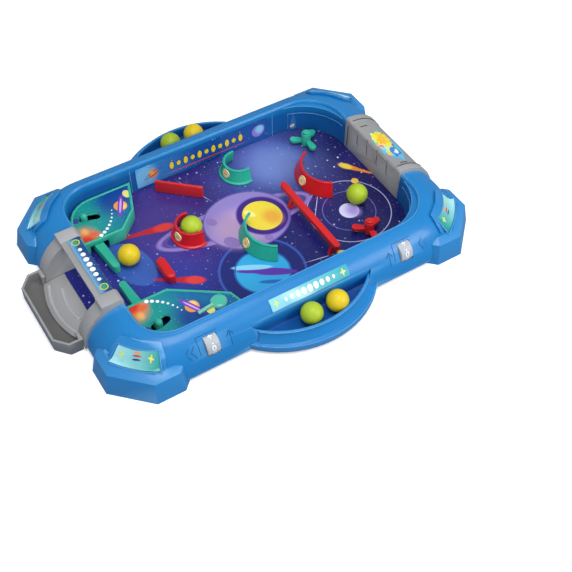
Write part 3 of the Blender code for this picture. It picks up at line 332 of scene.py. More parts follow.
def box_outline(low_x, high_x, low_y, high_y):
    return [(low_x, low_y), (high_x, low_y), (high_x, high_y), (low_x, high_y)]


# Node trees


def add(tree, kind, inputs=None, output=0, **settings):
    """An output of a new node, whose inputs are set or linked by name or number."""
    made = tree.nodes.new(kind)
    for key, value in settings.items():
        setattr(made, key, value)
    for key, value in (inputs or {}).items():
        if isinstance(value, bpy.types.NodeSocket):
            tree.links.new(value, made.inputs[key])
        else:
            made.inputs[key].default_value = value
    return made.outputs[output]


def plug(tree, node, sockets):
    """Links sockets to a node's inputs by name."""
    for name, socket in sockets.items():
        tree.links.new(socket, node.inputs[name])


def calc(tree, operation, *values, **settings):
    return add(tree, "ShaderNodeMath", dict(enumerate(values)), operation=operation, **settings)


def times(tree, first, *others):
    for other in others:
        first = calc(tree, "MULTIPLY", first, other)
    return first


def vector_calc(tree, operation, *values, output=0):
    return add(tree, "ShaderNodeVectorMath", dict(enumerate(values)), output, operation=operation)


def ramp(tree, value, low=0.0, high=1.0, first=0.0, last=1.0, **settings):
    """A value's share of the way from low to high, as a number from first to last."""
    inputs = {"Value": value, "From Min": low, "From Max": high, "To Min": first, "To Max": last}
    return add(tree, "ShaderNodeMapRange", inputs, **settings)


def part(tree, vector, axis):
    return add(tree, "ShaderNodeSeparateXYZ", {0: vector}, axis)


def fade(tree, vector, axis, low, high):
    """A share from 0 to 1 along one axis."""
    return ramp(tree, part(tree, vector, axis), low, high)


def object_place(tree):
    return add(tree, "ShaderNodeTexCoord", output="Object")


def noise(tree, vector, scale, detail, output="Fac", **more):
    inputs = {"Vector": vector, "Scale": scale, "Detail": detail, **more}
    return add(tree, "ShaderNodeTexNoise", inputs, output)


def mix(tree, share, under, over):
    """The colour socket of a mix of two colours, each a socket or a written colour."""
    made = tree.nodes.new("ShaderNodeMix")
    made.data_type = "RGBA"
    for index, value in ((0, share), (6, under), (7, over)):
        if isinstance(value, bpy.types.NodeSocket):
            tree.links.new(value, made.inputs[index])
        else:
            made.inputs[index].default_value = value if index == 0 else rgba(value)
    return made.outputs[2]


def new_group(kind, name, inputs, outputs):
    """A node group, what it is given and its output node. Inputs are (name, type, default if any)."""
    tree = bpy.data.node_groups.new(name, kind)
    for label, socket, *value in inputs:
        made = tree.interface.new_socket(label, in_out="INPUT", socket_type="NodeSocket" + socket)
        if value:
            made.default_value = value[0]
    for label, socket in outputs:
        tree.interface.new_socket(label, in_out="OUTPUT", socket_type="NodeSocket" + socket)
    return tree, tree.nodes.new("NodeGroupInput").outputs, tree.nodes.new("NodeGroupOutput")


def geometry_group(name, *inputs):
    """A geometry group with its own inputs between the geometry and the material."""
    sockets = [("Geometry", "Geometry"), *inputs, ("Material", "Material")]
    return new_group("GeometryNodeTree", name, sockets, [("Geometry", "Geometry")])


def end_geometry(tree, given, end, geometry):
    """Ends a geometry group with real instances in its material."""
    real = add(tree, "GeometryNodeRealizeInstances", {"Geometry": geometry})
    finish = add(tree, "GeometryNodeSetMaterial", {"Geometry": real, "Material": given["Material"]})
    plug(tree, end, {"Geometry": finish})


def build_bead_tree():
    """Geometry nodes: a round bead along every line of edges."""
    tree, given, end = geometry_group("bead_along_lines", ("Radius", "Float", 0.0005), ("Sides", "Int", 8))
    line = add(tree, "GeometryNodeMeshToCurve", {"Mesh": given["Geometry"]})
    sizes = {"Resolution": given["Sides"], "Radius": given["Radius"]}
    ring = add(tree, "GeometryNodeCurvePrimitiveCircle", sizes)
    tube = add(tree, "GeometryNodeCurveToMesh", {"Curve": line, "Profile Curve": ring, "Fill Caps": True})
    end_geometry(tree, given, end, add(tree, "GeometryNodeSetShadeSmooth", {"Geometry": tube}))


def build_trail_tree():
    """Geometry nodes: round dots along a line, each a little smaller than the last."""
    tree, given, end = geometry_group(
        "shrinking_dots",
        ("Count", "Int", 9),
        ("First Radius", "Float", 0.0018),
        ("Last Radius", "Float", 0.0005),
        ("Thickness", "Float", 0.0001),
    )
    line = add(tree, "GeometryNodeMeshToCurve", {"Mesh": given["Geometry"]})
    spread = add(tree, "GeometryNodeResampleCurve", {"Curve": line, "Count": given["Count"]})
    points = add(tree, "GeometryNodeCurveToPoints", {"Curve": spread}, mode="EVALUATED")
    index = add(tree, "GeometryNodeInputIndex")
    size = ramp(tree, index, 0.0, given["Count"], given["First Radius"], given["Last Radius"])
    scale = add(tree, "ShaderNodeCombineXYZ", {"X": size, "Y": size, "Z": 1.0})
    disc = add(tree, "GeometryNodeMeshCylinder", {"Vertices": 20, "Radius": 1.0, "Depth": given["Thickness"]})
    dots = add(tree, "GeometryNodeInstanceOnPoints", {"Points": points, "Instance": disc, "Scale": scale})
    end_geometry(tree, given, end, dots)


def build_ribs_tree():
    """Geometry nodes: small ribs round a wheel whose axis is along Y."""
    tree, given, end = geometry_group(
        "ribs_round_a_wheel",
        ("Count", "Int", 10),
        ("Radius", "Float", WHEEL_RADIUS),
        ("Rib", "Vector", (0.0008, 0.0007, 0.011)),
        ("Place", "Vector", (0.0, 0.0, 0.0)),
    )
    ring = add(tree, "GeometryNodeMeshCircle", {"Vertices": given["Count"], "Radius": given["Radius"]})
    place = add(tree, "GeometryNodeInputPosition")
    face = add(tree, "FunctionNodeAlignRotationToVector", {"Vector": place}, axis="X", pivot_axis="Z")
    block = add(tree, "GeometryNodeMeshCube", {"Size": given["Rib"]})
    ribs = add(tree, "GeometryNodeInstanceOnPoints", {"Points": ring, "Instance": block, "Rotation": face})
    laid = {"Geometry": ribs, "Translation": given["Place"], "Rotation": (math.radians(90), 0.0, 0.0)}
    end_geometry(tree, given, end, add(tree, "GeometryNodeTransform", laid))


def grown(name, mesh, group, values, look, body="case", slot=None):
    """An object from a geometry group: its inputs are set by identifier, and the result is made plain."""
    values = {**values, "Material": finish_of(look)}
    obj = new_object(name, mesh)
    modifier = obj.modifiers.new(group, "NODES")
    modifier.node_group = bpy.data.node_groups[group]
    for item in modifier.node_group.interface.items_tree:
        if item.item_type == "SOCKET" and item.in_out == "INPUT" and item.name in values:
            modifier[item.identifier] = values[item.name]
    return dress(settle(obj), look, body, slot=slot)


def line_mesh(name, paths, closed=False):
    """Edges through each path of points given from the case's middle."""
    points, edges = [], []
    for path in paths:
        start = len(points)
        points += [Vector(point) + SHIFT for point in path]
        edges += [(start + i, start + i + 1) for i in range(len(path) - 1)]
        if closed:
            edges.append((len(points) - 1, start))
    mesh = bpy.data.meshes.new(name)
    mesh.from_pydata(points, edges, [])
    return mesh


def bead(name, paths, radius, look, closed=False):
    """A round bead along each path."""
    values = {"Radius": radius, "Sides": 8}
    return grown(name, line_mesh(name, paths, closed), "bead_along_lines", values, look)


# Materials


def build_skin_group():
    """Shader nodes: the uneven colour, gloss and fine grain of moulded plastic, with a painted highlight that
    makes its edges lighter.
    """
    tree, given, end = new_group(
        "ShaderNodeTree",
        "moulded_skin",
        [
            ("Colour", "Color", (0.5, 0.5, 0.5, 1.0)),
            ("Deep Colour", "Color", (0.4, 0.4, 0.4, 1.0)),
            ("Edge Colour", "Color", (0.8, 0.8, 0.8, 1.0)),
            ("Roughness", "Float", 0.35),
            ("Grain Scale", "Float", 900.0),
        ],
        [("Colour", "Color"), ("Roughness", "Float"), ("Height", "Float")],
    )
    place = object_place(tree)
    share = ramp(tree, noise(tree, place, 22.0, 3.0), 0.35, 0.75, 0.0, 0.45)
    body = mix(tree, share, given["Colour"], given["Deep Colour"])
    # Painted highlight: sharp edges, found by their pointiness, are mixed towards the lighter edge colour
    point = add(tree, "ShaderNodeNewGeometry", output="Pointiness")
    edge_highlight = mix(tree, ramp(tree, point, 0.52, 0.6, 0.0, 0.35), body, given["Edge Colour"])
    swing = calc(tree, "MULTIPLY_ADD", noise(tree, place, 60.0, 2.0), 0.12, -0.06)
    rough = calc(tree, "ADD", given["Roughness"], swing)
    grain = noise(tree, place, given["Grain Scale"], 2.0)
    plug(tree, end, {"Colour": edge_highlight, "Roughness": rough, "Height": grain})


def build_spot_group():
    """Shader nodes: the mask of a printed oval, from its centre, radii, turn and softness."""
    tree, given, end = new_group(
        "ShaderNodeTree",
        "printed_spot",
        [
            ("Vector", "Vector"),
            ("Centre", "Vector", (0.0, 0.0, 0.0)),
            ("Radii", "Vector", (0.01, 0.01, 1.0)),
            ("Turn", "Float", 0.0),
            ("Softness", "Float", 0.03),
        ],
        [("Mask", "Float")],
    )
    moved = vector_calc(tree, "SUBTRACT", given["Vector"], given["Centre"])
    flat = {"Vector": vector_calc(tree, "MULTIPLY", moved, (1.0, 1.0, 0.0)), "Angle": given["Turn"]}
    turned = add(tree, "ShaderNodeVectorRotate", flat, rotation_type="Z_AXIS")
    sized = vector_calc(tree, "DIVIDE", turned, given["Radii"])
    away = vector_calc(tree, "LENGTH", sized, output="Value")
    outer = calc(tree, "ADD", 1.0, given["Softness"])
    inner = calc(tree, "SUBTRACT", 1.0, given["Softness"])
    plug(tree, end, {"Mask": ramp(tree, away, outer, inner, interpolation_type="SMOOTHSTEP")})


def spot(tree, vector, centre, radii, turn, softness):
    """The mask of one printed oval, from its centre and radii in millimetres."""
    inputs = {
        "Vector": vector,
        "Centre": (centre[0] * MM, centre[1] * MM, 0.0),
        "Radii": (radii[0] * MM, radii[1] * MM, 1.0),
        "Turn": -math.radians(turn),
        "Softness": softness,
    }
    return add(tree, "ShaderNodeGroup", inputs, node_tree=bpy.data.node_groups["printed_spot"])


def paint(tree, vector, colour, layers):
    """Prints layers over a colour.

    A layer is (centre, radii, turn, softness, ink), then its strength where that isn't 1, then the width
    of its line where only its outline is printed. Its lengths are in millimetres.
    """
    for layer in layers:
        centre, radii, turn, softness, ink, strength, line = layer + (1.0, 0)[len(layer) - 5 :]
        mask = spot(tree, vector, centre, radii, turn, softness)
        if line:
            inner = spot(tree, vector, centre, (radii[0] - line, radii[1] - line), turn, softness)
            mask = calc(tree, "SUBTRACT", mask, inner, use_clamp=True)
        colour = mix(tree, times(tree, mask, strength), colour, ink)
    return colour


def new_material(name, roughness=0.4, metallic=0.0, coat=0.0):
    made = bpy.data.materials.new(name)
    made.use_nodes = True
    shader = made.node_tree.nodes["Principled BSDF"]
    shader.inputs["Roughness"].default_value = roughness
    shader.inputs["Metallic"].default_value = metallic
    shader.inputs["Coat Weight"].default_value = coat
    shader.inputs["Specular IOR Level"].default_value = 0.35
    shader.inputs["Coat Roughness"].default_value = 0.12
    return made, made.node_tree, shader


def build_hollow_shade_group():
    """Shader nodes: the share of painted shade at a point, from 0 to 1, growing with how deep it lies in the
    field or in a side tray.
    """
    tree, given, end = new_group("ShaderNodeTree", "depth_in_hollows", [], [("Depth", "Float")])
    place = vector_calc(tree, "SUBTRACT", object_place(tree), tuple(SHIFT))
    side = calc(tree, "ABSOLUTE", part(tree, place, "X"))
    along = part(tree, place, "Y")
    # The field reaches just past its walls' lean, and its painted shade starts below the rim's crest
    inside_x = calc(tree, "LESS_THAN", side, FIELD_X + 0.0016)
    inside_y = calc(tree, "LESS_THAN", calc(tree, "ABSOLUTE", along), FIELD_Y + 0.0016)
    field = times(tree, inside_x, inside_y, fade(tree, place, "Z", 0.0364, 0.03), 0.8)
    # A tray is inside its round wall and outside its straight one
    out = calc(tree, "SUBTRACT", side, TRAY_CENTRE)
    flat = add(tree, "ShaderNodeCombineXYZ", {"X": out, "Y": along})
    near = calc(tree, "LESS_THAN", vector_calc(tree, "LENGTH", flat, output="Value"), 0.0829)
    past = calc(tree, "GREATER_THAN", side, 0.112)
    tray = times(tree, near, past, fade(tree, place, "Z", 0.023, 0.016))
    plug(tree, end, {"Depth": calc(tree, "MAXIMUM", field, tray)})


def painted_hollow_shade(tree, colour):
    """The case's blue with painted shade: darker inside the field and the side trays."""
    depth = add(tree, "ShaderNodeGroup", node_tree=bpy.data.node_groups["depth_in_hollows"])
    # Painted shade: the blue is mixed towards a deep blue where the hollows are deep
    return mix(tree, times(tree, depth, 0.9), colour, "#0B3C8E")


def tray_painted_shade_and_light(tree, colour):
    """The ball tray's grey with painted shade and light: darker on its floor and lighter on its lip."""
    up = part(tree, add(tree, "ShaderNodeTexCoord", output="Normal"), "Z")
    # Painted shade on the low floor and painted light on the lip's top, only on faces that look up
    tone = mix(tree, fade(tree, object_place(tree), "Z", 0.006, 0.008), "#636160", "#9C9C9E")
    return mix(tree, calc(tree, "GREATER_THAN", up, 0.7), colour, tone)


def plastic(name, colour, deep, edge, roughness=0.34, coat=0.0, grain=900.0, depth=0.05, tone=None):
    """Moulded plastic: the shared skin with its own values. Tone paints shade and light into its colour from
    place to place.
    """
    made, tree, shader = new_material(name, roughness, coat=coat)
    inputs = {
        "Colour": tone(tree, colour) if tone else rgba(colour),
        "Deep Colour": rgba(deep),
        "Edge Colour": rgba(edge),
        "Roughness": roughness,
        "Grain Scale": grain,
    }
    skin = add(tree, "ShaderNodeGroup", inputs, node_tree=bpy.data.node_groups["moulded_skin"]).node.outputs
    bump = add(tree, "ShaderNodeBump", {"Strength": depth, "Distance": 0.0004, "Height": skin["Height"]})
    plug(tree, shader, {"Base Color": skin["Colour"], "Roughness": skin["Roughness"], "Normal": bump})
    return made


def plane_vector(tree, axes, fold=False):
    """Object coordinates from the case's middle, with two of their axes as X and Y."""
    moved = vector_calc(tree, "SUBTRACT", object_place(tree), tuple(SHIFT))
    if fold:
        moved = vector_calc(tree, "ABSOLUTE", moved)
    flat = {"X": part(tree, moved, axes[0]), "Y": part(tree, moved, axes[1])}
    return add(tree, "ShaderNodeCombineXYZ", flat)


def print_finish(tree, shader, colour):
    """A laminated print: faint dots of ink in its colour and a slightly wavy gloss."""
    place = object_place(tree)
    shade = ramp(tree, noise(tree, place, 2400.0, 1.0), 0.3, 0.7, 0.94, 1.04)
    toned = add(tree, "ShaderNodeVectorMath", {0: colour, "Scale": shade}, operation="SCALE")
    waves = noise(tree, place, 55.0, 1.0)
    bump = add(tree, "ShaderNodeBump", {"Height": waves, "Strength": 0.06, "Distance": 0.001})
    rough = ramp(tree, waves, 0.0, 1.0, 0.24, 0.36)
    plug(tree, shader, {"Base Color": toned, "Normal": bump, "Roughness": rough})


def stars(tree, vector, colour, scale, size):
    """Small white stars scattered over a print."""
    inputs = {"Vector": vector, "Scale": scale, "Randomness": 1.0}
    away = add(tree, "ShaderNodeTexVoronoi", inputs, "Distance", voronoi_dimensions="2D")
    draws = add(tree, "ShaderNodeSeparateColor", {0: away.node.outputs["Color"]}).node.outputs
    inside = calc(tree, "LESS_THAN", away, times(tree, draws[0], size))
    return mix(tree, times(tree, inside, draws[1]), colour, "#F4F4FF")


# Prints


def star_layers(centre, size, ink, turn=0.0):
    """A four-pointed star as two crossed slim ovals."""
    slim = size * 0.26
    heart = size * 0.42
    return [(centre, radii, turn, 0.12, ink) for radii in ((size, slim), (slim, size), (heart, heart))]


def comet_layers(centre, length, turn, ink, head):
    """A tapering tail that grows towards a rounder head at its start."""
    way = math.radians(turn)
    layers = []
    for back, long, wide, softness, colour in (
        (0.0, 1.0, 0.1, 0.15, ink),
        (0.34, 0.64, 0.16, 0.15, ink),
        (0.6, 0.38, 0.19, 0.3, head),
    ):
        run = length * back
        place = (centre[0] - run * math.cos(way), centre[1] - run * math.sin(way))
        layers.append((place, (length * long, length * wide), turn, softness, colour))
    return layers


def field_layers():
    """The playfield's own picture: clouds, a ringed lilac world, a sun, a banded world and comets."""
    clouds = [
        ((-60, 62), (44, 46), 0, 0.85, "#5568B8", 0.8),
        ((-58, 66), (26, 24), 20, 0.7, "#8CA6E2", 0.45),
        ((-62, -62), (45, 55), 0, 0.9, "#46307E", 0.66),
        ((-15, -70), (50, 30), 0, 0.9, "#4A348E", 0.6),
        ((50, -95), (50, 35), 0, 0.9, "#1E3FA8", 0.65),
        ((74, 30), (40, 100), 0, 0.9, "#111A66", 0.8),
        ((-12, -110), (30, 17), 12, 0.06, "#3F78D0", 0.5),
    ]
    world = [
        ((-10, -4), (78, 20.5), 84, 0.03, "#8D78C0", 1.0, 5),
        ((-10, -4), (70, 16), 84, 0.03, "#6A54A8", 1.0, 1.6),
        ((-6, 6), (42, 36), 84, 0.012, "#9080C4"),
        ((0, -2), (26.5, 22), 84, 0.5, "#BE9DC4", 0.9),
        ((-6, 6), (42, 36), 84, 0.01, "#5B459C", 0.85, 1.1),
        ((12, -20), (8.5, 6.2), 28, 0.05, "#8A72B6", 0.9),
        ((-20, -24), (5.5, 4.2), 28, 0.06, "#8A72B6", 0.9),
        ((24, 12), (4.5, 3.4), 28, 0.06, "#8A72B6", 0.9),
        ((-3, 21), (25.8, 24), 18, 0.02, "#3A1F7C"),
        ((-3, 21), (25.8, 24), 18, 0.02, "#7B5CC0", 1.0, 1),
        ((-3, 21), (19.5, 18), 18, 0.02, "#EFD83E"),
        ((3, 28), (9.5, 8), 18, 0.6, "#E8A23C", 0.85),
        ((-11, 12), (6, 3), 30, 0.3, "#FFF4A0", 0.8),
    ]
    bands = [
        ((56, -14), (40, 40), 0, 0.05, "#12206E", 0.85),
        ((56, -14), (40, 40), 0, 0.02, "#3F62C0", 0.7, 2.2),
        ((56, -14), (25.5, 25.5), 0, 0.02, "#2FA6DC"),
        ((63, -4), (19, 3.6), 62, 0.15, "#5B2FA4"),
        ((55, -14), (23.5, 3), 62, 0.15, "#5B2FA4"),
        ((47, -20), (18, 3), 62, 0.15, "#8ED8F2", 0.9),
        ((71, -12), (13, 2.2), 62, 0.15, "#1B5FB4", 0.9),
        ((56, -14), (25.5, 25.5), 0, 0.02, "#1B4FA8", 0.9, 1.3),
    ]
    orbits = [
        ((34, 94), (40, 40), 0, 0.006, "#C9CCF4", 0.8, 0.8),
        ((34, 94), (25.5, 25.5), 0, 0.006, "#7F7AD0", 0.75, 0.7),
        ((34, 94), (9.5, 9.5), 0, 0.04, "#D8D4F6", 0.95),
        ((36, 97), (7, 6), 20, 0.7, "#A08CDC", 0.9),
        ((4, 121), (3.6, 3.6), 0, 0.05, "#F2C04A"),
        ((58, 86), (2.6, 2.6), 0, 0.05, "#58D2D8"),
        ((-6, 86), (2.2, 2.2), 0, 0.05, "#F28A5A"),
    ]
    comets = comet_layers((-8.9, 131.5), 18.3, 37, "#EC8A26", "#F8D646")
    comets += comet_layers((76, 64), 11, 64, "#EC8A26", "#F8D646")
    comets += comet_layers((-40, -80), 25, 260, "#B81C2C", "#E03A30")
    comets += comet_layers((26, -82), 23, 238, "#B81C2C", "#E03A30")
    streaks = []
    for centre, reach, turn in (
        ((-64, -18), 20, 20),
        ((14, 70), 24, -38),
        ((70, 40), 16, 80),
    ):
        streaks.append((centre, (reach, 0.3), turn, 0.4, "#DDE4FF", 0.8))
    return clouds + orbits + bands + world + comets + streaks


def wall_layers():
    """A ringed world, a pale globe, and a row of dots over a line."""
    layers = [((-55, 22), (12, 14), 0, 0.5, "#7FC4EA", 0.8)]
    layers += [
        ((-46, 22.5), (5.2, 5.2), 0, 0.05, "#E2783C"),
        ((-47, 24), (3, 2.2), 20, 0.6, "#F6C65A", 0.9),
        ((-46, 22.5), (9.8, 2.2), 24, 0.12, "#5C2E86", 0.95, 0.8),
        ((70, 22.5), (6.8, 6.8), 0, 0.04, "#8B7FD0"),
        ((72, 24), (4.5, 4.5), 0, 0.5, "#8ED0EA", 0.95),
        ((12, 15), (44, 0.6), 0, 0.2, "#E0442E"),
    ]
    for step in range(11):
        y = -26 + 7.6 * step
        tall = 5 if step % 2 == 0 else 3.4
        layers.append(((y, 23), (2.8, tall), 0, 0.08, "#14306E"))
        layers.append(((y, 23), (2.2, tall - 0.7), 0, 0.08, "#F2D32C"))
    return layers


def rim_layers():
    """A row of dots between two stars."""
    layers = [((-10, 112), (16, 4), 20, 0.7, "#BFE8EE", 0.7)]
    layers += star_layers((-33.5, 110.2), 2.6, "#D8E25A")
    layers += star_layers((33.5, 110.2), 2.6, "#D8E25A")
    for step in range(9):
        y = -24 + 6 * step
        size = 1 + 1.4 * math.cos(math.radians(20 * (step - 4)))
        layers.append(((y, 110.2), (size, size), 0, 0.1, "#F6FBFF"))
    return layers


def arch_layers():
    """A row of dots between two rings."""
    middle = -150.8
    layers = []
    for side in (-1, 1):
        layers.append(((side * 28.5, middle), (3.8, 3.8), 0, 0.06, "#B9C92E", 1.0, 1.2))
        layers.append(((side * 28.5, middle), (1.8, 1.8), 0, 0.1, "#2FA07A"))
    for step in range(7):
        x = -19.2 + 6.4 * step
        size = 1.4 + 1.2 * math.cos(math.radians(24 * (step - 3)))
        layers.append(((x, middle), (size, size), 0, 0.08, "#F3F8FF"))
    return layers


def corner_layers():
    """Three short bars between two stars."""
    layers = star_layers((87.2, 165.4), 2.5, "#CFE35A", 45)
    layers += star_layers((105, 147.6), 2.5, "#E8E04A", 45)
    layers += [
        ((98.5, 157.7), (3.6, 0.6), -45, 0.15, "#1D3F8C"),
        ((97, 156.2), (4, 0.6), -45, 0.15, "#D2322C"),
        ((95.5, 154.7), (3.4, 0.5), -45, 0.15, "#F08A3A"),
    ]
    return layers


def cover_layers():
    """Fire at the player's end, and a ringed world in the dark at the far end."""
    layers = [
        ((86, -90), (24, 15), 35, 0.5, "#0B3F8E", 0.95),
        ((44, -135), (15, 11), 0, 0.55, "#F08A3A", 0.95),
        ((41, -137), (10, 9), 0, 0.45, "#D92A1C"),
        ((56, -133), (4, 3), 0, 0.6, "#F2B266", 0.9),
        ((49, -127), (3, 4.2), 20, 0.6, "#E2603A", 0.9),
        ((69, -91.5), (6.2, 6.2), 0, 0.05, "#F09A34"),
        ((67.5, -90), (3.6, 3), 0, 0.6, "#FBE08A", 0.9),
        ((69, -91.5), (13.5, 2.6), 28, 0.1, "#7A35B8"),
        ((69, -91.5), (9.5, 1), 28, 0.12, "#C9A6E6"),
        ((80, -80), (5, 3.6), 0, 0.06, "#E6E07A"),
        ((72, -135), (3.4, 3.4), 0, 0.06, "#2C2F8C", 0.9),
    ]
    return layers


def bumper_layers():
    """A sun with rays, a blue globe and splashes of colour."""
    layers = [
        ((1, 152), (20, 7.5), 0, 0.1, "#CDE8A6", 0.9),
        ((-4, 156), (12, 8.2), 0, 0.08, "#F5DF2E"),
        ((-2, 154.5), (6, 4.2), 0, 0.3, "#F7B42C", 0.9),
    ]
    for step in range(7):
        turn = 51 * step
        way = math.radians(turn)
        ray = (-3.5 + 7.2 * math.cos(way), 155.5 + 5 * math.sin(way))
        layers.append((ray, (2.6, 0.5), turn, 0.12, "#E8862A"))
    layers += [
        ((7.5, 160.5), (4, 0.7), -35, 0.1, "#7A4A9A", 0.9),
        ((16.5, 156.5), (7.5, 4.8), -10, 0.08, "#2C86CC"),
        ((17.2, 157.5), (4, 2.2), -10, 0.3, "#D8F2FA"),
        ((16.5, 156.5), (7.5, 4.8), -10, 0.06, "#1D5FA8", 1.0, 0.6),
        ((6, 147.5), (3, 1.8), 0, 0.15, "#EE5A8C", 0.9),
        ((12, 148), (2.6, 2), 0, 0.15, "#6FC7E6", 0.9),
        ((0, 147.2), (2.4, 1.6), 0, 0.15, "#8FD07A", 0.9),
        ((19, 149), (3, 2.4), 0, 0.15, "#F2C230", 0.95),
    ]
    return layers


def band(axis, low, high, first, last, *star):
    """A ground that fades along one axis, with stars where their scale and size are given."""

    def ground(tree, vector):
        colour = mix(tree, fade(tree, vector, axis, low, high), first, last)
        return vector, stars(tree, vector, colour, *star) if star else colour

    return ground


def card_ground(tree, vector):
    clouds = noise(tree, vector, 14.0, 5.0, Roughness=0.55, Distortion=0.4)
    colour = mix(tree, fade(tree, vector, "Y", -0.13, 0.12), "#1D2380", "#14104E")
    colour = mix(tree, ramp(tree, clouds, 0.42, 0.75, 0.0, 0.75), colour, "#342B88")
    colour = stars(tree, vector, colour, 95.0, 0.1)
    return vector, stars(tree, vector, colour, 260.0, 0.07)


def corner_ground(tree, vector):
    along = calc(tree, "SUBTRACT", part(tree, vector, "X"), part(tree, vector, "Y"))
    return vector, mix(tree, ramp(tree, along, -0.084, -0.036), "#A4DFE6", "#1B9C94")


def cover_ground(tree, vector):
    """The same ground on both covers, measured outwards from the middle."""
    side = calc(tree, "ABSOLUTE", part(tree, vector, "X"))
    folded = add(tree, "ShaderNodeCombineXYZ", {"X": side, "Y": part(tree, vector, "Y")})
    cloud = noise(tree, folded, 60.0, 4.0, Distortion=0.5)
    colour = mix(tree, fade(tree, folded, "Y", -0.122, -0.092), "#0A8F86", "#0A4A9A")
    colour = mix(tree, times(tree, cloud, 0.45), colour, "#16A596")
    return folded, stars(tree, folded, colour, 230.0, 0.07)


def bumper_ground(tree, vector):
    """A fading ground, and a ragged vector that makes the layers' edges uneven."""
    cloud = noise(tree, vector, 130.0, 2.0, "Color")
    push = vector_calc(tree, "SUBTRACT", cloud, (0.5, 0.5, 0.5))
    ragged = vector_calc(tree, "ADD", vector, vector_calc(tree, "MULTIPLY", push, (0.009, 0.009, 0.0)))
    return ragged, mix(tree, fade(tree, vector, "X", -0.016, 0.022), "#58C6B8", "#5FB8E2")


def build_print(name, axes, ground, layers, coat=0.2, fold=False):
    """A print on a plane. Its ground gives the vector for the layers and the colour under them."""
    made, tree, shader = new_material(name, 0.3, coat=coat)
    vector, colour = ground(tree, plane_vector(tree, axes, fold))
    print_finish(tree, shader, paint(tree, vector, colour, layers()))
    return made


def build_badge_print():
    made, tree, shader = new_material("badge_print", 0.35)
    print_finish(tree, shader, mix(tree, noise(tree, object_place(tree), 200.0, 2.0), "#FFF6C4", "#F8E090"))
    return made


def build_steel():
    made, tree, shader = new_material("turned_steel", 0.3, metallic=1.0)
    lines = noise(tree, object_place(tree), 700.0, 2.0)
    colour = mix(tree, lines, "#B9BCC0", "#DADCDF")
    plug(tree, shader, {"Base Color": colour, "Roughness": ramp(tree, lines, 0.0, 1.0, 0.22, 0.4)})
    return made


# Sizes and colours that a user would change


def colour_setting(name, description, colour):
    return FloatVectorProperty(name=name, description=description, default=linear(colour), subtype="COLOR")


def length_setting(name, description, value):
    return FloatProperty(name=name, description=description, default=value, unit="LENGTH", precision=5)


class FinishSettings(bpy.types.PropertyGroup):
    blue: colour_setting("Case blue", "Colour of the case, feet and side trays", "#167DC0")
    teal: colour_setting("Teal", "Colour of the covers, flippers and teal obstacles", "#27AE92")
    red: colour_setting("Red", "Colour of the red obstacles", "#CE171C")
    grey: colour_setting("Grey", "Colour of the arch, chute and bumper", "#969595")
    wheel: colour_setting("Wheel grey", "Colour of the score wheels", "#A9ADB3")
    tray_grey: colour_setting("Tray grey", "Colour of the ball tray", "#7E7D7D")
    green_ball: colour_setting("Green ball", "Colour of the green balls", "#AFC82E")
    yellow_ball: colour_setting("Yellow ball", "Colour of the yellow balls", "#E6CB1E")


class EdgeSettings(bpy.types.PropertyGroup):
    foot: length_setting("Foot edge", "Rounding of the corner feet's edges", 0.0011)
    arch: length_setting("Arch edge", "Rounding of the arch's and trays' edges", 0.0007)
    cover: length_setting("Cover edge", "Rounding of the covers' edges", 0.0005)
    obstacle: length_setting("Obstacle edge", "Rounding of the obstacles' edges", 0.0005)


class DetailSettings(bpy.types.PropertyGroup):
    wheel_ribs: IntProperty(name="Wheel ribs", description="Ribs round a score wheel", default=10, min=4)
    trail_dots: IntProperty(name="Trail dots", description="Dots in a cover's trail", default=8, min=3)
    line: length_setting("Raised line", "Radius of the raised lines on the rim", 0.00035)
    crest_bead: length_setting("Crest bead", "Radius of the bead on the rim's crest", 0.0005)


class StageSettings(bpy.types.PropertyGroup):
    lamp: FloatProperty(name="Main lamp", description="Power of the main lamp", default=10.4, unit="POWER")
    fill: FloatProperty(name="Fill lamp", description="Power of the fill lamp", default=4.0, unit="POWER")
    side: FloatProperty(name="Side lamp", description="Power of the side lamp", default=7.0, unit="POWER")
    sky: FloatProperty(name="Sky", description="Strength of the pale surroundings", default=0.46, min=0.0)
    glow: FloatProperty(name="Floor glow", description="Light added where the floor is seen", default=0.34)


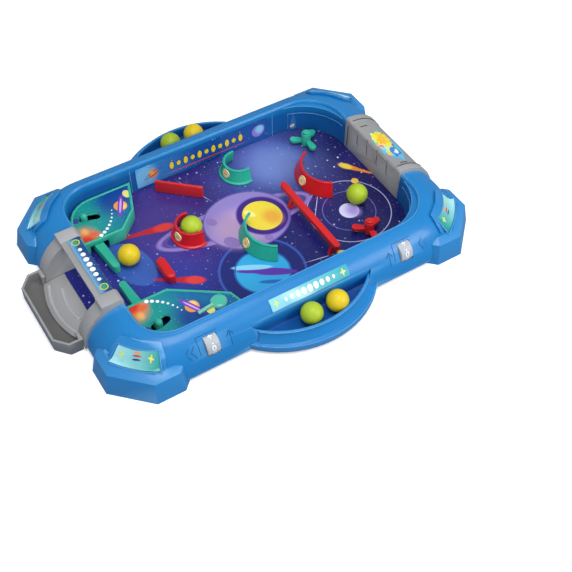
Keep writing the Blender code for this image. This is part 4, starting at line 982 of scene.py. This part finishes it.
# Each plastic's material name, colour, deep colour and edge colour (a painted highlight on its edges), and
# its other values where they differ.
# A colour is a setting's name or written out, and a deep colour is written out or a share of the colour.
BALL_SKIN = {"roughness": 0.4, "grain": 200.0, "depth": 0.3}
PLASTICS = {
    "blue": ("blue_plastic", "blue", 0.8, "#8CC6F0", {"roughness": 0.38, "coat": 0.16, "tone": painted_hollow_shade}),
    "teal": ("teal_plastic", "teal", 0.82, "#7FDCC8", {"roughness": 0.38}),
    "pale_teal": ("pale_teal_plastic", "#4DBFA6", "#3BAF95", "#B5EEDD", {"roughness": 0.26, "coat": 0.3}),
    "red": ("red_plastic", "red", 0.82, "#F0605A", {"coat": 0.1}),
    "grey": ("grey_plastic", "grey", 0.86, "#C9CACC", {"roughness": 0.46}),
    "dark_grey": ("tray_grey_plastic", "tray_grey", 0.84, "#A9AAAC", {"roughness": 0.5, "tone": tray_painted_shade_and_light}),
    # The chute's ridges are real, and their lighter grey is a painted highlight along them
    "ridge": ("chute_ridge_grey", "#A7A8A9", "#9C9D9E", "#C9CACC", {"roughness": 0.42}),
    "wheel": ("wheel_plastic", "wheel", 0.84, "#DDDFE3", {"roughness": 0.42}),
    "white": ("white_ink", "#F4F6FA", "#E6EAF2", "#FFFFFF", {"roughness": 0.4}),
    "red_ink": ("red_ink", "#D8452E", "#C23A28", "#E86A50", {"roughness": 0.4}),
    # Dark grey for the bumper's grooves: painted shade in them
    "groove": ("groove_grey", "#36373A", "#2C2D30", "#55565A", {"roughness": 0.5}),
    "line": ("shadow_line", "#154A84", "#123F72", "#2468A8", {"roughness": 0.5}),
    "green_ball": ("green_ball_plastic", "green_ball", "#7E9618", "#C8E060", BALL_SKIN),
    "yellow_ball": ("yellow_ball_plastic", "yellow_ball", "#B8930C", "#F4E070", BALL_SKIN),
}

# Each print's material name, axes, ground, layers and other values
WALL_BAND = band("X", -0.06, 0.0, "#3E8FD2", "#164E9E", 200.0, 0.08)
RIM_BAND = band("X", -0.034, 0.034, "#8CD3E2", "#2FA6B4")
ARCH_BAND = band("Y", -0.1565, -0.1505, "#6FAFDA", "#0E4682", 300.0, 0.1)
PRINTS = {
    "card": ("playfield_print", "XY", card_ground, field_layers, {"coat": 0.25}),
    "wall_label": ("wall_label_print", "YZ", WALL_BAND, wall_layers, {}),
    "rim_label": ("rim_label_print", "YX", RIM_BAND, rim_layers, {}),
    "arch_label": ("arch_label_print", "XY", ARCH_BAND, arch_layers, {}),
    "corner_label": ("corner_label_print", "XY", corner_ground, corner_layers, {"fold": True}),
    "cover_label": ("cover_label_print", "XY", cover_ground, cover_layers, {"coat": 0.25}),
    "bumper_label": ("bumper_label_print", "XY", bumper_ground, bumper_layers, {}),
}
GROUPS = (
    build_skin_group,
    build_spot_group,
    build_hollow_shade_group,
    build_bead_tree,
    build_trail_tree,
    build_ribs_tree,
)
FINISHES = {}


def finish_of(look):
    """A look's material. The first that is asked for builds the node groups and all the materials."""
    if not FINISHES:
        for build in GROUPS:
            build()
        settings = bpy.context.scene.pinball_finishes
        for key, (name, colour, deep, edge, more) in PLASTICS.items():
            colour = linear(colour) if colour.startswith("#") else getattr(settings, colour)
            if not isinstance(deep, str):
                deep = [channel * deep for channel in colour]
            FINISHES[key] = plastic(name, colour, deep, edge, **more)
        for key, (name, axes, ground, layers, more) in PRINTS.items():
            FINISHES[key] = build_print(name, axes, ground, layers, **more)
        FINISHES["steel"] = build_steel()
        FINISHES["badge"] = build_badge_print()
    return FINISHES[look]


# The case


def case_ring(half_x, half_y, far_radius, near_radius, z):
    """A level ring with rounded corners and divided straights."""
    corners = ((1, 1, far_radius), (-1, 1, far_radius), (-1, -1, near_radius), (1, -1, near_radius))
    arcs = []
    for turn, (side, end, radius) in enumerate(corners):
        centre = (side * (half_x - radius), end * (half_y - radius))
        arcs.append(arc(centre, radius, turn * 90, turn * 90 + 90, CORNER_STEPS))
    ring = []
    for points, after in zip(arcs, arcs[1:] + arcs[:1]):
        ring += points + between(points[-1], after[0], STRAIGHT_STEPS, 1)
    return [(x, y, z) for x, y in ring]


def rim_ring(angle, grow=0.0, drop=0.0):
    out = math.sin(math.radians(angle))
    up = math.cos(math.radians(angle))
    return case_ring(
        FIELD_X + WALL_LEAN + CREST_INSET + (RIM_SIDE_RUN + grow) * out,
        FIELD_Y + WALL_LEAN + CREST_INSET + (RIM_END_RUN + grow) * out,
        FAR_CORNER + CREST_INSET + (OUTER_CORNER - FAR_CORNER + grow) * out,
        NEAR_CORNER + CREST_INSET + (OUTER_CORNER - NEAR_CORNER + grow) * out,
        RIM_FOOT + (RIM_RISE + grow) * up - drop,
    )


def wall_ring(z, corner, outwards=0.0):
    lean = WALL_LEAN * (z - FLOOR_TOP) / (DEFLECTOR_TOP - FLOOR_TOP)
    radii = (corner + outwards, NEAR_CORNER + outwards)
    return case_ring(FIELD_X + lean + outwards, FIELD_Y + lean + outwards, *radii, z)


def cut_with(obj, bm, operation="DIFFERENCE"):
    cutter = mesh_object(obj.name + "_cutter", bm)
    modifier = obj.modifiers.new("Cut", "BOOLEAN")
    modifier.operation = operation
    modifier.object = cutter
    settle(obj)
    bpy.data.objects.remove(cutter, do_unlink=True)


def tray_seat(side):
    """The space that a side tray takes out of the rim."""
    shapes = []
    for reach, radius in TRAY_SHAPES:
        centre = reach - radius
        radius += 0.0003
        half = math.degrees(math.acos((TRAY_CHORD - centre) / radius))
        shapes.append([(side * x, y) for x, y in arc((centre, 0), radius, -half, half, 60)])
    levels = ((shapes[0], -0.006), (shapes[0], 0.0108), (shapes[1], 0.0111), (shapes[1], 0.0268))
    return loft([[(x, y, z) for x, y in shape] for shape, z in levels])


def crest_dip(angle):
    """A shallow groove runs just outside the crest."""
    return 0.00018 * max(0.0, 1 - abs(angle - 7.0) / 2.5)


class PINBALL_OT_case(bpy.types.Operator):
    """Build the blue case with its rim and inner walls"""

    bl_idname = "pinball.case"
    bl_label = "Case"

    def execute(self, context):
        rings = [
            wall_ring(FLOOR_TOP, DEFLECTOR_CORNER),
            wall_ring(DEFLECTOR_TOP - 0.0012, DEFLECTOR_CORNER),
            wall_ring(DEFLECTOR_TOP - 0.0003, DEFLECTOR_CORNER - 0.0004),
            wall_ring(DEFLECTOR_TOP, DEFLECTOR_CORNER - 0.0014),
            wall_ring(DEFLECTOR_TOP + 0.0003, FAR_CORNER),
            wall_ring(RIM_TOP - CREST_DROP, FAR_CORNER),
        ]
        for share in (0.25, 0.6):
            inset = CREST_INSET * share * share
            rings.append(wall_ring(RIM_TOP - CREST_DROP * (1 - share), FAR_CORNER, inset))
        angles = [0.0, 2.0, 4.5, 5.8, 7.0, 8.2, 9.5]
        angles += [9.5 + (90 - 9.5) * step / 22 for step in range(1, 23)]
        rings += [rim_ring(angle, 0.0, crest_dip(angle)) for angle in angles]
        rings.append(rim_ring(90, -CASE_SKIN))
        roof = math.degrees(math.asin(CASE_SKIN / RIM_SIDE_RUN))
        rings += [rim_ring(roof + (90 - roof) * (1 - step / 8), -CASE_SKIN) for step in range(1, 9)]
        rings += [
            wall_ring(DEFLECTOR_TOP - CASE_SKIN, FAR_CORNER, CASE_SKIN),
            wall_ring(DEFLECTOR_TOP - CASE_SKIN - 0.0003, DEFLECTOR_CORNER, CASE_SKIN),
            wall_ring(FLOOR_TOP - CASE_SKIN, DEFLECTOR_CORNER, CASE_SKIN),
        ]
        case = mesh_object("case_finished", loft(rings))
        for outline in (
            box_outline(-OUTLET_GAP, OUTLET_GAP, -0.1868, -0.1403),
            box_outline(-BUMPER_GAP, BUMPER_GAP, 0.1408, 0.1868),
        ):
            cut_with(case, prism(outline, -0.006, 0.046))
        for side in (-1, 1):
            cut_with(case, tray_seat(side))
        shelf = box_outline(-0.0482, 0.0482, -0.165, -0.1354)
        cut_with(case, prism(shelf, FLOOR_TOP - CASE_SKIN + 0.0001, FLOOR_TOP - 0.0001), "UNION")
        half = WHEEL_WIDTH / 2 + 0.0005
        well = circle((WHEEL_X, WHEEL_Z), WHEEL_RADIUS + 0.0005, 64)
        for y in (-WHEEL_Y, WHEEL_Y):
            cut_with(case, prism(well, y - half, y + half, "Y"))
        hole = circle((0.1097, 0.0124), 0.003, 32)
        cut_with(case, prism(hole, -FIELD_X - 0.006, -FIELD_X + 0.006, "X"))
        smooth(case, 38.0)
        weighted = case.modifiers.new("Even shading", "WEIGHTED_NORMAL")
        weighted.keep_sharp = True
        dress(settle(case), "blue", "case", ["main_case"])
        details = context.scene.pinball_details
        drop, touch = surface_of("main_case")
        bead("rim_marks", rim_marks(drop), details.line, "line")
        steps = []
        for y in (-0.069, 0.087, 0.1145):
            steps.append([(-wall_x(z), y, z) for z in (0.009, 0.02, 0.035)])
        bead("wall_steps", steps, 0.0006, "blue")
        bead("deflector_edges", deflector_edges(touch), details.crest_bead, "blue")
        bead("rim_crest", crest_lines(), details.crest_bead, "blue")
        return {"FINISHED"}


def wall_x(z):
    """How far out the long inner walls are at a height."""
    return FIELD_X + WALL_LEAN * (z - FLOOR_TOP) / (DEFLECTOR_TOP - FLOOR_TOP)


def rim_marks(drop):
    """The score wheels' frames, chevrons and arrows on the rim."""
    marks = []

    def mark(*corners):
        path = [place for pair in zip(corners, corners[1:]) for place in between(*pair, 6)]
        marks.append([drop(x, y) for x, y in (*path, corners[-1])])

    for side, offsets in ((-1, (0.019, 0.024)), (1, (0.015, 0.0205))):
        wheel = side * WHEEL_Y
        for offset in offsets:
            y = wheel + side * offset
            mark((0.111, y + 0.004), (0.1142, y), (0.1172, y + 0.004))
        y = wheel - side * 0.017
        mark((0.1182, y), (0.1113, y))
        mark((0.1142, y - 0.003), (0.1113, y), (0.1142, y + 0.003))
        mark((0.117, wheel - 0.0118), (0.1074, wheel - 0.0118), (0.1074, wheel + 0.008))
    return marks


def crest_lines():
    """A line along each half of the rim's crest, between the outlet's gap and the bumper's."""
    crest = [p for p in rim_ring(0.6) if abs(p[0]) >= (0.049 if p[1] < 0 else 0.0452)]
    z = RIM_TOP - 0.0002
    lines = []
    for side in (-1, 1):
        line = sorted((p for p in crest if side * p[0] > 0), key=lambda p: math.atan2(p[1], side * p[0]))
        lines.append([(side * 0.0488, line[0][1], z), *line, (side * 0.045, line[-1][1], z)])
    return lines


def deflector_edges(touch):
    """The upper edge of each rounded far corner, and the raised panel line below it."""
    lines = []
    for side in (-1, 1):
        centre = (side * (FIELD_X + WALL_LEAN - DEFLECTOR_CORNER), FIELD_Y + WALL_LEAN - DEFLECTOR_CORNER)
        turn = 0 if side > 0 else 90
        points = arc(centre, DEFLECTOR_CORNER, turn + 6, turn + 84, 24)
        lines.append([(x, y, DEFLECTOR_TOP) for x, y in points])
        ways = [(side * x, y) for x, y in arc((0, 0), 1, 6, 90, 40)]
        rise = [(ways[0], 0.0105 + 0.003 * step) for step in range(6)]
        level = [(way, 0.0285) for way in ways]
        lines.append([touch(side * 0.05, 0.1, z, way, -0.0001) for way, z in rise + level])
    return lines


# The corner feet


def foot_place(signs, share, across, margin=0.0):
    """A place on a corner label: share runs along it from -1 to 1, across over it from 0 to 1."""
    along = Vector((-1, 1)).normalized()
    back = Vector((-1, -1)).normalized()
    reach = LABEL_HALF + LABEL_BOW * (1 - 2 * across) + margin
    front = LABEL_FRONT + LABEL_BOW * share * share - margin
    rear = LABEL_FRONT + LABEL_DEPTH - LABEL_BOW * (1 - share * share) + margin
    place = FOOT_CENTRE + along * reach * share + back * (front + (rear - front) * across)
    return signs[0] * place.x, signs[1] * place.y


def grid_sheet(name, rows, thickness):
    """A thin sheet through rows of points, with its upper side on them."""
    bm = bmesh.new()
    made = [[bm.verts.new(point) for point in row] for row in rows]
    for lower, upper in zip(made, made[1:]):
        for index in range(len(lower) - 1):
            bm.faces.new((lower[index], lower[index + 1], upper[index + 1], upper[index]))
    bmesh.ops.recalc_face_normals(bm, faces=bm.faces)
    if sum(face.normal.z for face in bm.faces) < 0:
        bmesh.ops.reverse_faces(bm, faces=bm.faces)
    sheet = mesh_object(name, bm)
    thick = sheet.modifiers.new("Sheet", "SOLIDIFY")
    thick.thickness = thickness
    settle(sheet)
    return smooth(sheet, 50.0)


class PINBALL_OT_feet(bpy.types.Operator):
    """Build the corner feet with their raised panels and labels"""

    bl_idname = "pinball.feet"
    bl_label = "Corner feet"

    def execute(self, context):
        shares = [step / 8 - 1 for step in range(17)]
        frames = []
        for corner in CORNERS:
            foot = f"corner_foot_{corner}"
            node = f"corner_label_{corner}"
            refine(foot, "blue", context.scene.pinball_edges.foot, 24.0, 3)
            drop = surface_of(foot)[0]
            signs = (1 if "right" in corner else -1, 1 if "far" in corner else -1)
            rows = []
            for share in shares:
                places = [foot_place(signs, share, across / 4) for across in range(5)]
                rows.append([drop(x, y, 0.0008) for x, y in places])
            label = grid_sheet(node + "_finished", rows, 0.0004)
            dress(label, "corner_label", body_of(node), [node])
            outline = [foot_place(signs, share, 0, 0.0009) for share in shares]
            outline += [foot_place(signs, share, 1, 0.0009) for share in reversed(shares)]
            frames.append([drop(x, y, 0.0001) for x, y in outline])
        bead("corner_label_frames", frames, 0.0007, "blue", closed=True)
        return {"FINISHED"}


# The outlet


class PINBALL_OT_outlet(bpy.types.Operator):
    """Build the outlet arch, the ridged chute, the ball tray and the arch label"""

    bl_idname = "pinball.outlet"
    bl_label = "Outlet"

    def execute(self, context):
        edge = context.scene.pinball_edges.arch
        refine("outlet_arch", "grey", edge)
        refine("chute_ramp", "grey", edge / 2)
        refine("ball_tray", "dark_grey", edge)
        refine("arch_label", "arch_label")
        drop = surface_of("chute_ramp")[0]
        centre = (0.0, 0.0844 - 0.1926)
        ridges = []
        for radius, half in ((0.08, 22.0), (0.069, 16.5)):
            points = arc(centre, radius, 270 - half, 270 + half, 24)
            ridges.append([drop(x, y, -0.0008) for x, y in points])
        # The ridges' lighter grey is a painted highlight
        bead("chute_ridges", ridges, 0.0018, "ridge")
        return {"FINISHED"}


# The far bumper


class PINBALL_OT_bumper(bpy.types.Operator):
    """Build the grey bumper at the far end, with its splash label"""

    bl_idname = "pinball.bumper"
    bl_label = "Far bumper"

    def execute(self, context):
        refine("far_bumper", "grey", context.scene.pinball_edges.arch)
        drop, touch = surface_of("far_bumper")
        (x0, y0), (half_x, half_y) = SPLASH_MIDDLE, SPLASH_HALF
        rows = [[drop(x0, y0, 0.0004)] * (SPLASH_STEPS + 1)]
        for ring in range(1, 9):
            row = []
            for step in range(SPLASH_STEPS + 1):
                angle = 2 * math.pi * step / SPLASH_STEPS
                wave = 1 + sum(high * math.sin(count * angle + turn) for high, count, turn in SPLASH_WAVES)
                reach = wave * ring / 8
                place = (x0 + half_x * reach * math.cos(angle), y0 + half_y * reach * math.sin(angle))
                row.append(drop(*place, 0.0004))
            rows.append(row)
        dress(grid_sheet("bumper_splash", rows, 0.0003), "bumper_label", "case", ["bumper_label"])
        ahead = (0, 1)
        lines = []
        for share in (-0.66, -0.22, 0.22, 0.66):
            x = 0.0366 * share
            lines.append([touch(x, 0, 0.0245 + 0.0021 * step, ahead) for step in range(6)])
            lines.append([touch(x, 0, 0.0245, ahead), touch(x + 0.0022, 0, 0.0245, ahead)])
        lines.append([touch(-0.0395, 0, 0.011 + 0.0036 * step, ahead) for step in range(8)])
        for x, y, run, count in (
            (-0.0368, 0.144, 0.004, 8),
            (0.0368, 0.144, 0.004, 8),
            (-0.027, 0.1465, 0.002, 5),
            (0.033, 0.15, 0.002, 5),
        ):
            lines.append([drop(x, y + run * step) for step in range(count)])
        # The seams are dark beads: painted shade in the bumper's grooves
        bead("bumper_seams", lines, 0.0005, "groove")
        return {"FINISHED"}


# Side trays, labels and wheels


class PINBALL_OT_side_trays(bpy.types.Operator):
    """Build the half-round trays on both long sides"""

    bl_idname = "pinball.side_trays"
    bl_label = "Side trays"

    def execute(self, context):
        half = 41.0
        section = [(0.0843, 0.02), (0.085, 0.0204), (0.0855, 0.0199), (0.0852, 0.0192)]
        section += [(0.086, 0.016), (0.0889, 0.0112), (0.0894, 0.0104), (0.084, 0.0104)]
        ledge = arc((0.0613, 0), 0.0874, -half, half, 60)
        for side, sign in (("left", -1), ("right", 1)):
            refine(f"side_tray_{side}", "blue", context.scene.pinball_edges.arch)
            skirt = swept_wall(f"side_tray_skirt_{side}", (TRAY_CENTRE, 0), -half, half, section, 72, sign)
            dress(skirt, "blue")
            bead(f"side_tray_edge_{side}", [[(sign * x, y, 0.0101) for x, y in ledge]], 0.0007, "blue")
        return {"FINISHED"}


class PINBALL_OT_labels(bpy.types.Operator):
    """Build the playfield card and the labels on the wall and the rim"""

    bl_idname = "pinball.labels"
    bl_label = "Card and labels"

    def execute(self, context):
        refine("playfield_card", "card")
        refine("wall_label", "wall_label")
        refine("rim_label", "rim_label")
        return {"FINISHED"}


def text_mesh(words, size, bold=0.0):
    """The flat outlines of plain digits, centred and made bolder, as points and faces."""
    curve = bpy.data.curves.new("digits", "FONT")
    curve.body = words
    curve.size = size
    curve.offset = bold
    curve.align_x = "CENTER"
    curve.align_y = "CENTER"
    curve.resolution_u = 3
    obj = new_object("digits", curve)
    graph = bpy.context.evaluated_depsgraph_get()
    mesh = bpy.data.meshes.new_from_object(obj.evaluated_get(graph), depsgraph=graph)
    bpy.data.objects.remove(obj, do_unlink=True)
    bpy.data.curves.remove(curve)
    points = [v.co.copy() for v in mesh.vertices]
    faces = [list(p.vertices) for p in mesh.polygons]
    bpy.data.meshes.remove(mesh)
    return points, faces


def wrapped_print(name, prints, look, body="case"):
    """Flat shapes laid on a surface. Each print is (points, faces, a function from u and v to a place)."""
    points, faces = [], []
    for flat, shapes, place in prints:
        start = len(points)
        points += [place(p.x, p.y) + SHIFT for p in flat]
        faces += [[start + i for i in face] for face in shapes]
    mesh = bpy.data.meshes.new(name)
    mesh.from_pydata(points, [], faces)
    return dress(new_object(name, mesh), look, body)


class PINBALL_OT_wheels(bpy.types.Operator):
    """Build the score wheels with ribs and digits"""

    bl_idname = "pinball.wheels"
    bl_label = "Score wheels"

    def execute(self, context):
        count = context.scene.pinball_details.wheel_ribs
        for name, y in (("score_wheel_near", -WHEEL_Y), ("score_wheel_far", WHEEL_Y)):
            body = body_of(name)
            refine(name, "wheel", 0.0005)
            refine(name + "_axle", "steel")
            values = {
                "Count": count,
                "Radius": WHEEL_RADIUS - 0.0001,
                "Rib": (0.0007, 0.0006, WHEEL_WIDTH * 0.9),
                "Place": Vector((WHEEL_X, y, WHEEL_Z)) + SHIFT,
            }
            ribs = name + "_ribs"
            grown(ribs, bpy.data.meshes.new(ribs), "ribs_round_a_wheel", values, "wheel", body)
            prints = []
            for digit in range(count):
                turn = 2 * math.pi * (digit + 0.5) / count
                prints.append((*text_mesh(str(digit % 10), 0.008, 0.00018), wheel_place(y, turn)))
            wrapped_print(name + "_digits", prints, "white", body)
        return {"FINISHED"}


def wheel_place(y, turn):
    reach = WHEEL_RADIUS + 0.00012

    def place(u, v):
        angle = turn + v / WHEEL_RADIUS
        return Vector((WHEEL_X + reach * math.cos(angle), y + u, WHEEL_Z + reach * math.sin(angle)))

    return place


# Flippers and covers


class PINBALL_OT_covers(bpy.types.Operator):
    """Build the covers with their labels, dot trails and raised emblem"""

    bl_idname = "pinball.covers"
    bl_label = "Flipper covers"

    def execute(self, context):
        for side, sign in (("left", -1), ("right", 1)):
            cover = f"flipper_cover_{side}"
            refine(cover, "teal", context.scene.pinball_edges.cover)
            refine(cover + "_label", "cover_label")
            drop = surface_of(cover + "_label")[0]
            points = arc((0.08, -0.138), 0.039, 156, 108, 30)
            path = [drop(sign * x, y, 0.00008) for x, y in points]
            values = {
                "Count": context.scene.pinball_details.trail_dots,
                "First Radius": 0.0019,
                "Last Radius": 0.0004,
                "Thickness": 0.0001,
            }
            name = f"dot_trail_{side}"
            grown(name, line_mesh(name, [path]), "shrinking_dots", values, "white", slot="label_print")
        base = surface_of("flipper_cover_right_label")[0](0.0766, -0.072).z
        rings = []
        for radius, z in EMBLEM_PROFILE:
            rings.append([(x, y, base + z) for x, y in circle((0.0766, -0.07), radius, 40)])
        dress(smooth(mesh_object("cover_emblem_disc", loft(rings)), 50.0), "pale_teal")
        tail = ((0.077, -0.076, 0.0008), (0.078, -0.084, 0.0008), (0.079, -0.091, 0.0007))
        bead("cover_emblem_tail", [[(x, y, base + z) for x, y, z in tail]], 0.0019, "pale_teal")
        return {"FINISHED"}


class PINBALL_OT_flippers(bpy.types.Operator):
    """Build the flippers with their knobs and pins"""

    bl_idname = "pinball.flippers"
    bl_label = "Flippers"

    def execute(self, context):
        for side in ("left", "right"):
            refine(f"flipper_{side}", "teal", 0.0009, 30.0, 3)
            refine(f"flipper_{side}_knob", "teal", 0.0004, 30.0, 3)
            refine(f"flipper_{side}_pin", "steel")
        return {"FINISHED"}


# Cups, walls and the other obstacles


def swept_wall(name, centre, start, end, profile, steps=56, sign=1):
    """A wall with a section of radius and height, swept round part of a circle, mirrored by sign -1."""
    rings = []
    for x, y in arc((0, 0), 1, start, end, steps):
        rings.append([(sign * (centre[0] + x * r), centre[1] + y * r, z) for r, z in profile])
    obj = mesh_object(name, loft(rings))
    soften(obj, 0.0004, 3, 25)
    return smooth(obj, 40.0)


def badge_place(centre, radii, height, angle):
    """From u and v on a badge's face to a place on the leaning wall."""
    foot, top = radii

    def place(u, v):
        up = height + v
        reach = foot + (top - foot) * up / PIECE_RISE + BADGE_FACE
        turn = math.radians(angle) + u / reach
        out = Vector((reach * math.cos(turn), reach * math.sin(turn), PIECE_FOOT + up))
        return out + Vector((*centre, 0))

    return place


def ring_shape(inner, outer, steps=32):
    points = [Vector((*p, 0)) for r in (inner, outer) for p in circle((0, 0), r, steps)]
    faces = [[i, (i + 1) % steps, steps + (i + 1) % steps, steps + i] for i in range(steps)]
    return points, faces


class PINBALL_OT_walls(bpy.types.Operator):
    """Build the cups and arc walls with their badges"""

    bl_idname = "pinball.walls"
    bl_label = "Cups and arc walls"

    def execute(self, context):
        low = PIECE_FOOT
        top = PIECE_FOOT + PIECE_RISE
        cup_section = [(0.0162, low), (0.0194, low), (0.0194, low + 0.0014), (0.0176, low + 0.002)]
        cup_section += [(0.0152, top - 0.0016), (0.0154, top - 0.0008), (0.0152, top), (0.013, top)]
        cup_section += [(0.013, top - 0.0012), (0.015, low + 0.0022)]
        wall_section = [(0.0313, low), (0.0333, low), (0.0328, low + 0.0016), (0.028, top - 0.0016)]
        wall_section += [(0.0282, top - 0.0008), (0.0278, top), (0.0258, top), (0.0256, top - 0.0012)]
        for group, section, radii, height, angle in (
            (CUPS, cup_section, (0.0172, 0.015), 0.00835, 281.0),
            (ARC_WALLS, wall_section, (0.0333, 0.0277), 0.00745, 272.0),
        ):
            for name, (centre, start, end, score) in group.items():
                look = name.split("_")[0]
                dress(swept_wall(name + "_finished", centre, start, end, section), look, "case", [name])
                refine(name + "_badge", "badge")
                place = badge_place(centre, radii, height, angle)
                prints = [(*text_mesh(score, 0.0046), place), (*ring_shape(0.0038, 0.0042), place)]
                wrapped_print(name + "_score", prints, "red_ink")
        return {"FINISHED"}


class PINBALL_OT_obstacles(bpy.types.Operator):
    """Build the plate, the long bar, the capsule and the spinners"""

    bl_idname = "pinball.obstacles"
    bl_label = "Bars and spinners"

    def execute(self, context):
        edge = context.scene.pinball_edges.obstacle
        refine("red_plate", "red", edge, 30.0, 3)
        refine("long_bar", "red", edge * 1.6, 30.0, 3)
        refine("capsule_bumper", "red", edge * 1.6, 25.0, 3)
        for look in ("teal", "red"):
            refine(f"{look}_spinner", look, edge * 1.4, 30.0, 3)
            refine(f"{look}_spinner_pin", look, edge, 30.0, 3)
        return {"FINISHED"}


class PINBALL_OT_balls(bpy.types.Operator):
    """Build the loose balls"""

    bl_idname = "pinball.balls"
    bl_label = "Balls"

    def execute(self, context):
        for node in sorted(frame["nodes"]):
            if not node.startswith("ball_") or node == "ball_tray":
                continue
            low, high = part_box(node)
            centre = (low + high) / 2
            bm = bmesh.new()
            bmesh.ops.create_icosphere(bm, subdivisions=5, radius=(high.z - low.z) / 2)
            turn = Matrix.Rotation(centre.x * 40, 4, (0.3, 0.8, 0.5))
            bmesh.ops.transform(bm, matrix=Matrix.Translation(centre) @ turn, verts=bm.verts)
            ball = mesh_object(node + "_finished", bm, shift=False)
            ball.data.shade_smooth()
            dress(ball, "green_ball" if "green" in node else "yellow_ball", body_of(node), [node])
        return {"FINISHED"}


# The stage


class PINBALL_OT_stage(bpy.types.Operator):
    """Build the pale floor, the soft lamps and the camera"""

    bl_idname = "pinball.stage"
    bl_label = "Stage"

    def execute(self, context):
        settings = context.scene.pinball_stage
        bm = bmesh.new()
        bmesh.ops.create_grid(bm, x_segments=1, y_segments=1, size=6.0)
        floor = mesh_object("floor", bm, shift=False)
        made, tree, shader = new_material("pale_floor", 0.7)
        shader.inputs["Emission Color"].default_value = rgba("#FFFFFF")
        seen = add(tree, "ShaderNodeLightPath", output="Is Camera Ray")
        away = vector_calc(tree, "LENGTH", object_place(tree), output="Value")
        glow = times(tree, seen, ramp(tree, away, 0.35, 2.5, settings.glow, 0.85))
        plug(tree, shader, {"Base Color": mix(tree, seen, "#8494A6", "#F4F4F6"), "Emission Strength": glow})
        floor.data.materials.append(made)
        floor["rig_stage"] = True

        world = bpy.data.worlds.new("pale_room")
        world.use_nodes = True
        tree = world.node_tree
        seen = add(tree, "ShaderNodeLightPath", output="Is Camera Ray")
        tint = mix(tree, seen, "#F0F6FF", "#FFFFFF")
        level = ramp(tree, seen, 0.0, 1.0, settings.sky, 1.0)
        plug(tree, tree.nodes["Background"], {"Strength": level, "Color": tint})
        context.scene.world = world

        for name, power, size, place in (
            ("main_lamp", settings.lamp, 0.7, (0.3, -0.05, 1.3)),
            ("fill_lamp", settings.fill, 1.0, (0.95, -0.95, 0.75)),
            ("side_lamp", settings.side, 0.6, (0.95, 0.75, 0.6)),
        ):
            data = bpy.data.lights.new(name, "AREA")
            data.energy = power
            data.size = size
            lamp = bpy.data.objects.new(name, data)
            lamp.location = place
            lamp.rotation_euler = (Vector((0, 0, 0.02)) - Vector(place)).to_track_quat("-Z", "Y").to_euler()
            context.scene.collection.objects.link(lamp)

        data = bpy.data.cameras.new("camera")
        data.lens = 61.357
        data.sensor_width = 36.0
        data.clip_end = 20.0
        camera = bpy.data.objects.new("camera", data)
        context.scene.collection.objects.link(camera)
        right = (0.52968, 0.84812, 0.01198)
        up = (-0.65893, 0.40255, 0.63543)
        back = (0.53409, -0.34446, 0.77207)
        place = (0.53903, -0.2916, 0.6708)
        rows = [[right[i], up[i], back[i], place[i]] for i in range(3)]
        camera.matrix_world = Matrix(rows + [[0, 0, 0, 1]])
        context.scene.camera = camera
        context.scene.view_settings.view_transform = "Standard"
        return {"FINISHED"}


class PINBALL_PT_panel(bpy.types.Panel):
    """Lists the pieces of the game and their settings"""

    bl_idname = "PINBALL_PT_panel"
    bl_label = "Pinball game"
    bl_space_type = "VIEW_3D"
    bl_region_type = "UI"
    bl_category = "Pinball"

    def draw(self, context):
        for group in SETTINGS:
            settings = getattr(context.scene, group)
            box = self.layout.box()
            for name in settings.__annotations__:
                box.prop(settings, name)
        for operator in OPERATORS:
            self.layout.operator(operator.bl_idname)


SETTINGS = {
    "pinball_finishes": FinishSettings,
    "pinball_edges": EdgeSettings,
    "pinball_details": DetailSettings,
    "pinball_stage": StageSettings,
}
OPERATORS = (
    PINBALL_OT_stage,
    PINBALL_OT_case,
    PINBALL_OT_feet,
    PINBALL_OT_outlet,
    PINBALL_OT_bumper,
    PINBALL_OT_side_trays,
    PINBALL_OT_labels,
    PINBALL_OT_wheels,
    PINBALL_OT_covers,
    PINBALL_OT_flippers,
    PINBALL_OT_walls,
    PINBALL_OT_obstacles,
    PINBALL_OT_balls,
)


def register():
    for group, settings in SETTINGS.items():
        bpy.utils.register_class(settings)
        setattr(bpy.types.Scene, group, PointerProperty(type=settings))
    for operator in OPERATORS:
        bpy.utils.register_class(operator)
    bpy.utils.register_class(PINBALL_PT_panel)


def unregister():
    bpy.utils.unregister_class(PINBALL_PT_panel)
    for operator in reversed(OPERATORS):
        bpy.utils.unregister_class(operator)
    for group, settings in SETTINGS.items():
        delattr(bpy.types.Scene, group)
        bpy.utils.unregister_class(settings)


def main():
    register()
    for operator in OPERATORS:
        name = operator.bl_idname.split(".")[1]
        getattr(bpy.ops.pinball, name)()
    boxes = {"cad": CAD_BOX, "visual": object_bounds()}
    {key: [list(corner) for corner in box] for key, box in boxes.items()}


if __name__ == "__main__":
    main()
